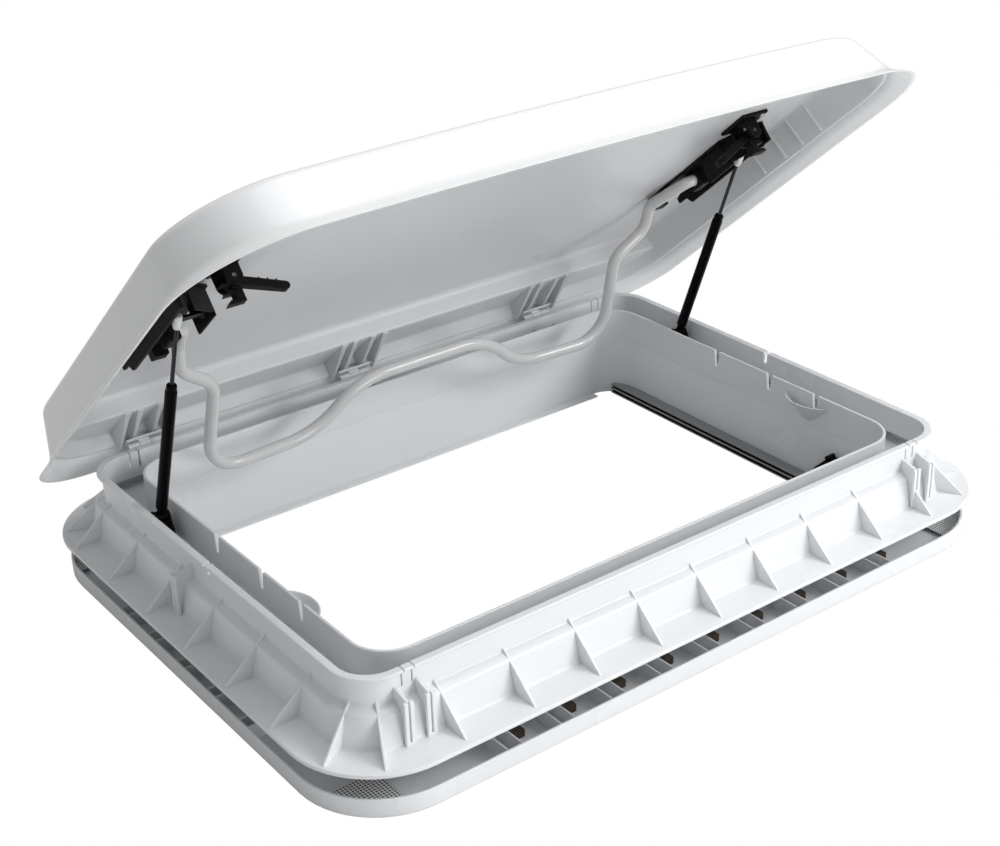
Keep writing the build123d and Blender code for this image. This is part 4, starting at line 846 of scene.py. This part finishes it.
fitted(made("hinge_lid_leaves", lid_leaves), coated_steel, "lid", "steel", "hinge_leaves_lid")
fitted(made("hinge_pin_set", pins), zinc, "frame", "steel", "hinge_pins")
fitted(screws("hinge_screw_set", seats, 3.0, 1.4, 6), zinc, "frame", "steel", "hinge_screws")
seats = [((sx * x, sy * y, gutter_floor), (0, 0, 1)) for x, y in ((327.25, 60), (120, 227.75))
         for sx in (-1, 1) for sy in (-1, 1)]
fitted(screws("ring_screw_set", seats, 3.2, 2.0, 5.5), zinc, "frame", "steel", "ring_screws")


# Strut brackets. Black glass-filled nylon under the pan: a plate, a web that carries the strut's ball,
# an outer wall that runs back into a tail, and a lug with the bush of the bow handle.
def lid_web(outline, x0, x1, edge=0.4):
    """A web of (in, up) points between two places across the lid."""
    points, groups = soft_plate(outline, x1 - x0, edge)
    return lid_place(x0 + points[:, 2], points[:, 0], points[:, 1]), groups


def lid_plate(outline, rise0, rise1, edge=0.4):
    """A plate of (x, in) points between two heights."""
    points, groups = soft_plate(outline, rise1 - rise0, edge)
    return lid_place(points[:, 0], points[:, 1], rise0 + points[:, 2]), groups


def lid_slice(outline, in0, in1, edge=0.4):
    """A slice of (x, up) points between two distances in from the back lip."""
    points, groups = soft_plate(outline, in1 - in0, edge)
    return lid_place(points[:, 0], in0 + points[:, 2], points[:, 1]), groups


def pair(name, shapes, material, body, slot, node):
    """A piece on the right and its mirror image on the left, each on its own body or both on one. A
    star in the body's and the node's name stands for the side."""
    for side, placed in (("right", shapes), ("left", [flipped(shape) for shape in shapes])):
        piece = made(name + "_" + side, placed)
        fitted(piece, material, body.replace("*", side), slot, node.replace("*", side))


bow_in, bow_rise, bush_outside, bush_inside = 272, 40, 7.35, 6.35
bracket = [
    lid_plate([(297, 204), (316, 204), (330, 243), (340, 243), (340, 372), (328, 372), (297, 346)], 49, 52),
    lid_web([(303, 23), (346, 23), (346, 50), (303, 50)], 300, 303),
    lid_web([(204, 38), (218, 38), (224, 30), (372, 30), (372, 50), (225, 50), (204, 44)], 336, 340),
    lid_plate([(300, 346), (328, 372), (328, 369), (300, 343)], 26, 50, 0.3),
    lid_block(297, 312, 204, 216, 38, 50, 0.8),
]
for distance in (236, 300, 340):
    bracket.append(lid_slice([(329, 50), (336.5, 50), (336.5, 38)], distance, distance + 1.8, 0.2))
lug = made("lug", [lid_block(309, 321, 261, 283, 30, 50, 1.2)])
carved(lug, [spindle([(bush_outside, 0), (bush_outside, 10)], lid_place(308, bow_in, bow_rise),
                     lid_place(318, bow_in, bow_rise), steps=32)])
stay = joined("strut_bracket_arm_right", made("strut_bracket_arm_right", bracket), lug)
other = stay.copy()
other.data = stay.data.copy()
other.data.transform(Matrix.Scale(-1, 4, Vector((1, 0, 0))))
other.data.flip_normals()
other.name = "strut_bracket_arm_left"
bpy.context.scene.collection.objects.link(other)
fitted(stay, black_nylon, "lid", "black_plastic", "strut_bracket_right")
fitted(other, black_nylon, "lid", "black_plastic", "strut_bracket_left")
bush = turned([(bush_outside, 0), (bush_outside, 9), (bush_inside, 9), (bush_inside, 0)],
              lid_place(309, bow_in, bow_rise), lid_place(318, bow_in, bow_rise), 32)
fitted(made("bushes", [bush, flipped(bush)]), black_nylon, "lid", "black_plastic", "bow_bushes")

lid_up = opened(np.array([0, hinge_y, hinge_z + 1.0])) - np.array([0, hinge_y, hinge_z])
seats = []
for x, inward, under in ((309, 244, 49), (331, 262, 49), (317, 352, 49), (312, 373, 48.5), (312, 403, 48.5)):
    for side in (-1, 1):
        seats.append((lid_place(side * x, inward, under), -lid_up))
fitted(screws("lid_screw_set", seats, 3.4, 2.0, 4.5), zinc, "lid", "steel", "lid_screws")

ball_x, ball_radius = 328, 4


def on_stud(x):
    """A place on the axis of the right strut's ball stud."""
    return lid_place(x, 330, 33)


angle = np.linspace(0.02, np.pi - 0.02, 15)
ball = np.stack([ball_radius * np.sin(angle), ball_radius - ball_radius * np.cos(angle)], axis=1)
stud = [spindle([(4.5, 0), (4.5, 2.4), (3.6, 3)], on_stud(300), on_stud(297), steps=6, ease=0.2),
        spindle([(2.5, 0), (2.5, 28)], on_stud(300), on_stud(ball_x)),
        spindle([(4.5, 0), (4.5, 2.2), (3.4, 3)], on_stud(303), on_stud(306), ease=0.2),
        spindle(ball, on_stud(ball_x - ball_radius), on_stud(ball_x))]
black_steel = finish_of("blackened steel", (0.05, 0.05, 0.052), (0.035, 0.035, 0.037), 0.35, grain=0.3,
                        metallic=1.0)
stud_set = made("stud_set", stud + [flipped(shape) for shape in stud], 40)
fitted(stud_set, black_steel, "lid", "steel", "ball_studs")


# Latches. A black nylon base with two ears screwed under the pan, and a lever with a finger arm and a
# comb of hooks that catches the notches of the inner ring, on a steel pin.
latch_x, latch_rise, comb_near, comb_far = 297, 36, 383, 393
turn = np.linspace(np.pi, 2 * np.pi, 15)
ear = [(latch_x + 8 * math.cos(a), latch_rise + 8 * math.sin(a)) for a in turn] + [(305, 50), (289, 50)]
base = [lid_block(284, 318, 368, 408, 48.5, 52, 0.8), lid_slice(ear, 374.7, 378.7, 0.5),
        lid_slice(ear, 397.3, 401.3, 0.5)]
pair("latch_base", base, black_nylon, "lid", "black_plastic", "latch_body_*")


def on_latch(inward):
    """A place on the axis of the right latch's pin."""
    return lid_place(latch_x, inward, latch_rise)


pin = spindle([(2, 0), (2, 26.6)], on_latch(374.7), on_latch(400), steps=20, ease=0.3)
fitted(made("latch_pin_set", [pin, flipped(pin)]), zinc, "lid", "steel", "latch_pins")

arm_reach, arm_drop, arm_tip_radius, arm_root_radius = 49, 19, 3.6, 4.25
arm_long = math.hypot(arm_reach, arm_drop) - arm_root_radius
along_arm = np.array([-arm_reach, -arm_drop]) / math.hypot(arm_reach, arm_drop)
beside_arm = np.array([arm_drop, -arm_reach]) / math.hypot(arm_reach, arm_drop)
arm = []
for turn_from, centre_at, radius in ((0, arm_long, arm_tip_radius), (np.pi, 0, arm_root_radius)):
    for a in np.linspace(turn_from + np.pi / 2, turn_from - np.pi / 2, 11):
        at = along_arm * (centre_at + radius * math.cos(a)) + beside_arm * radius * math.sin(a)
        arm.append((latch_x + at[0], latch_rise + at[1]))
comb_back = [(291, latch_rise), (299, latch_rise), (299, 15), (291, 15)]
lever = [lid_slice(arm, comb_near, comb_far, 1.2), lid_slice(comb_back, comb_near, comb_far, 0.6)]
for low in (15, 24, 33):
    hook = [(295.5, low), (308, low), (304.5, low + 3.5), (295.5, low + 3.5)]
    lever.append(lid_slice(hook, comb_near, comb_far, 0.4))
for share in (0.5, 0.66, 0.82):
    at = along_arm * arm_long * share - beside_arm * 4.0
    lever.append(spindle([(0.8, 0), (0.8, 8)], lid_place(latch_x + at[0], comb_near + 1, latch_rise + at[1]),
                         lid_place(latch_x + at[0], comb_far - 1, latch_rise + at[1]), steps=12, ease=0.2))
hub = [(5.5, 0), (5.5, 18), (2.1, 18), (2.1, 0)]
lever.append(turned(hub, on_latch(379), on_latch(397), steps=28, ease=0.5))
pair("latch_arm", lever, black_nylon, "latch_lever_*", "black_plastic", "latch_lever_*")


# Gas struts. Gloss black pressure tubes with a shouldered rod guide, thin dark rods, white acetal ball
# sockets at the bracket, and a black eye in a nylon fork that stands on the gutter floor.
foot = np.array([ball_x, 124.5, 52.0])
ball_at = on_stud(ball_x)
strut_long = np.linalg.norm(ball_at - foot)
gloss_black = finish_of("gloss black lacquer", (0.002, 0.002, 0.0025), (0.0015, 0.0015, 0.002), 0.22,
                        haze=0.03, grain=0.02, wave=0.02, specular=0.05)
rod_dark = finish_of("nitrided rod", (0.07, 0.07, 0.075), (0.05, 0.05, 0.055), 0.20, metallic=1.0)
acetal = finish_of("white acetal", (0.74, 0.75, 0.75), (0.70, 0.71, 0.71), 0.35, grain=0.2)
tube = [(4.3, 12), (5.6, 13.5), (5.6, 162), (4.9, 163.5), (4.9, 168.5), (3.6, 170), (2.1, 170)]
rod = [(2, 152), (2, strut_long - 8.8)]
shell = [(2.2, -9), (3.2, -9), (3.5, -7), (4.4, -4.2), (4.4, 4.2), (3.8, 5.6), (2.6, 5.8)]
shell = [(radius, strut_long + distance) for radius, distance in shell]
eye = turned([(6, 0), (6, 9.8), (3, 9.8), (3, 0)], foot - [4.9, 0, 0], foot, steps=32, ease=0.5)
neck = spindle([(4, 4), (4, 12.2)], foot, ball_at)
pair("pressure_tube", [spindle(tube, foot, ball_at, steps=40, ease=0.5)], gloss_black, "strut_cylinder_*",
     "strut_black", "strut_cylinder_*")
pair("strut_foot_eye", [eye, neck], gloss_black, "strut_cylinder_*", "strut_black", "strut_eye_*")
pair("piston_rod", [spindle(rod, foot, ball_at)], rod_dark, "strut_rod_*", "rod_steel", "strut_rod_*")
pair("ball_socket", [spindle(shell, foot, ball_at, steps=32, ease=0.5)], acetal, "strut_rod_*",
     "socket_white", "strut_socket_*")

fork_x0, fork_x1, fork_y0, fork_y1, cheek_wall = 320.5, 335.5, 109.5, 139.5, 2
cheek = [(fork_y0, 30.5), (fork_y1, 30.5), (130.5, 55), (128.5, 58), (120.5, 58), (118.5, 55)]
fork = [block(fork_x0, fork_x1, fork_y0, fork_y1, gutter_floor, 31, 0.5),
        upright(cheek, fork_x0, fork_x0 + cheek_wall), upright(cheek, fork_x1 - cheek_wall, fork_x1)]
pair("foot_fork", fork, black_nylon, "frame", "black_plastic", "strut_fork_*")


# Bow handle. One tube in gloss light-grey coating: it runs from bush to bush, steps in and down on each
# side and waists up in the middle, in a plane that leans back.
def bent(corners, radii, steps=9):
    """A path through corners, with an arc at each inner one that touches both its runs: its centre lies
    r / sin(half) along the bisector and it starts r / tan(half) from the corner."""
    path = [corners[0]]
    for before, corner, after, radius in zip(corners, corners[1:], corners[2:], radii):
        u = (before - corner) / np.linalg.norm(before - corner)
        v = (after - corner) / np.linalg.norm(after - corner)
        half = math.acos(np.clip(u @ v, -1, 1)) / 2
        middle = (u + v) / np.linalg.norm(u + v)
        centre = corner + middle * radius / math.sin(half)
        first = corner + u * radius / math.tan(half) - centre
        last = corner + v * radius / math.tan(half) - centre
        sweep = math.pi - 2 * half
        for t in np.linspace(0, 1, steps):
            spoke = first * math.sin((1 - t) * sweep) + last * math.sin(t * sweep)
            path.append(centre + spoke / math.sin(sweep))
    return np.array(path + [corners[-1]])


def tube_along(path, radius, steps=28):
    """Circles across a path, each turned from the last by as little as the path turns."""
    way = np.gradient(path, axis=0)
    way /= np.linalg.norm(way, axis=1, keepdims=True)
    side = np.cross(way[0], [0, 0, 1.0])
    turn = np.linspace(0, 2 * np.pi, steps, endpoint=False)[:, None]
    rows = []
    for place, ahead in zip(path, way):
        side = side - ahead * (side @ ahead)
        side /= np.linalg.norm(side)
        rows.append(place + radius * (np.cos(turn) * side + np.sin(turn) * np.cross(ahead, side)))
    return loft(rows, closed_rows=False, cap_start=True, cap_end=True)


tilt, tube_radius = math.radians(14.4), 6.3
pivot, bend = lid_place(0, bow_in, bow_rise), lid_place(0, 216, 42.2)
half_bow = [(317.5, *pivot[1:]), (301, *pivot[1:])]
for x, drop in ((287, 0), (285, 30), (248, 57), (253, 167), (130, 161), (78, 111)):
    half_bow.append((x, bend[1] + drop * math.sin(tilt), bend[2] - drop * math.cos(tilt)))
bow_corners = np.array(half_bow + [(-x, y, z) for x, y, z in reversed(half_bow)])
bow_radii = [10, 18, 22, 26, 36, 82, 82]
bow_path = bent(bow_corners, bow_radii + bow_radii[::-1])
bow_grey = finish_of("light grey coating", (0.63, 0.635, 0.64), (0.60, 0.605, 0.61), 0.18, haze=0.04,
                     grain=0.03, coat=0.5, coat_roughness=0.06)
fitted(made("bow_tube", [tube_along(bow_path, tube_radius)], 60), bow_grey, "bow", "bow_grey", "bow_handle")


# Studio. A plain matt floor just under the ceiling frame, and a white sky. To the camera both are pure
# white, and the sky lights the object with less than that.
floor_half, floor_z = 6, -0.0427
floor_mesh = bpy.data.meshes.new("floor")
floor_corners = [(x * floor_half, y * floor_half, floor_z) for x, y in ((-1, -1), (1, -1), (1, 1), (-1, 1))]
floor_mesh.from_pydata(floor_corners, [], [(0, 1, 2, 3)])
floor = bpy.data.objects.new("floor", floor_mesh)
bpy.context.scene.collection.objects.link(floor)
floor_white = bpy.data.materials.new("floor white")
floor_white.use_nodes = True
tree = floor_white.node_tree
matt = tree.nodes["Principled BSDF"]
set_inputs(matt, {"Base Color": (0.8, 0.8, 0.8, 1), "Roughness": 0.9, "Specular IOR Level": 0.0})
glow = new_node(tree, "ShaderNodeEmission", {"Color": (1, 1, 1, 1)})
ray = new_node(tree, "ShaderNodeLightPath")
either = new_node(tree, "ShaderNodeMixShader")
wire(tree, (ray, "Is Camera Ray", either, "Fac"), (matt, 0, either, 1), (glow, 0, either, 2),
     (either, 0, tree.nodes["Material Output"], "Surface"))
floor_mesh.materials.append(floor_white)

world = bpy.data.worlds.new("studio")
bpy.context.scene.world = world
world.use_nodes = True
tree = world.node_tree
sky = tree.nodes["Background"]
set_inputs(sky, {"Color": (1, 1, 1, 1)})
ray = new_node(tree, "ShaderNodeLightPath")
strength = new_node(tree, "ShaderNodeMapRange", {"To Min": 0.38, "To Max": 1.0})
wire(tree, (ray, "Is Camera Ray", strength, "Value"), (strength, 0, sky, "Strength"))


# Lamps. Three soft square ones: the key from the front right, a low one before the sunroof that reaches
# under the lid, and one overhead. Places are in metres, and power is in watts.
def lamp(name, place, target, size, power):
    """A soft square lamp at a place, aimed at a target."""
    light = bpy.data.lights.new(name, "AREA")
    light.size = size
    light.energy = power
    holder = bpy.data.objects.new(name, light)
    bpy.context.scene.collection.objects.link(holder)
    aim = (Vector(place) - Vector(target)).to_track_quat("Z", "Y").to_matrix().to_4x4()
    holder.matrix_world = Matrix.Translation(place) @ aim


lamp("key", (1.9, -2.1, 1.8), (0, 0, 0.1), 1.5, 54)
lamp("low", (0.4, -2.9, 0.38), (0, 0, 0.2), 1.0, 22)
lamp("top", (0.4, 0.2, 2.6), (0, 0, 0.1), 1.6, 33)

bpy.context.scene.view_settings.view_transform = "Standard"
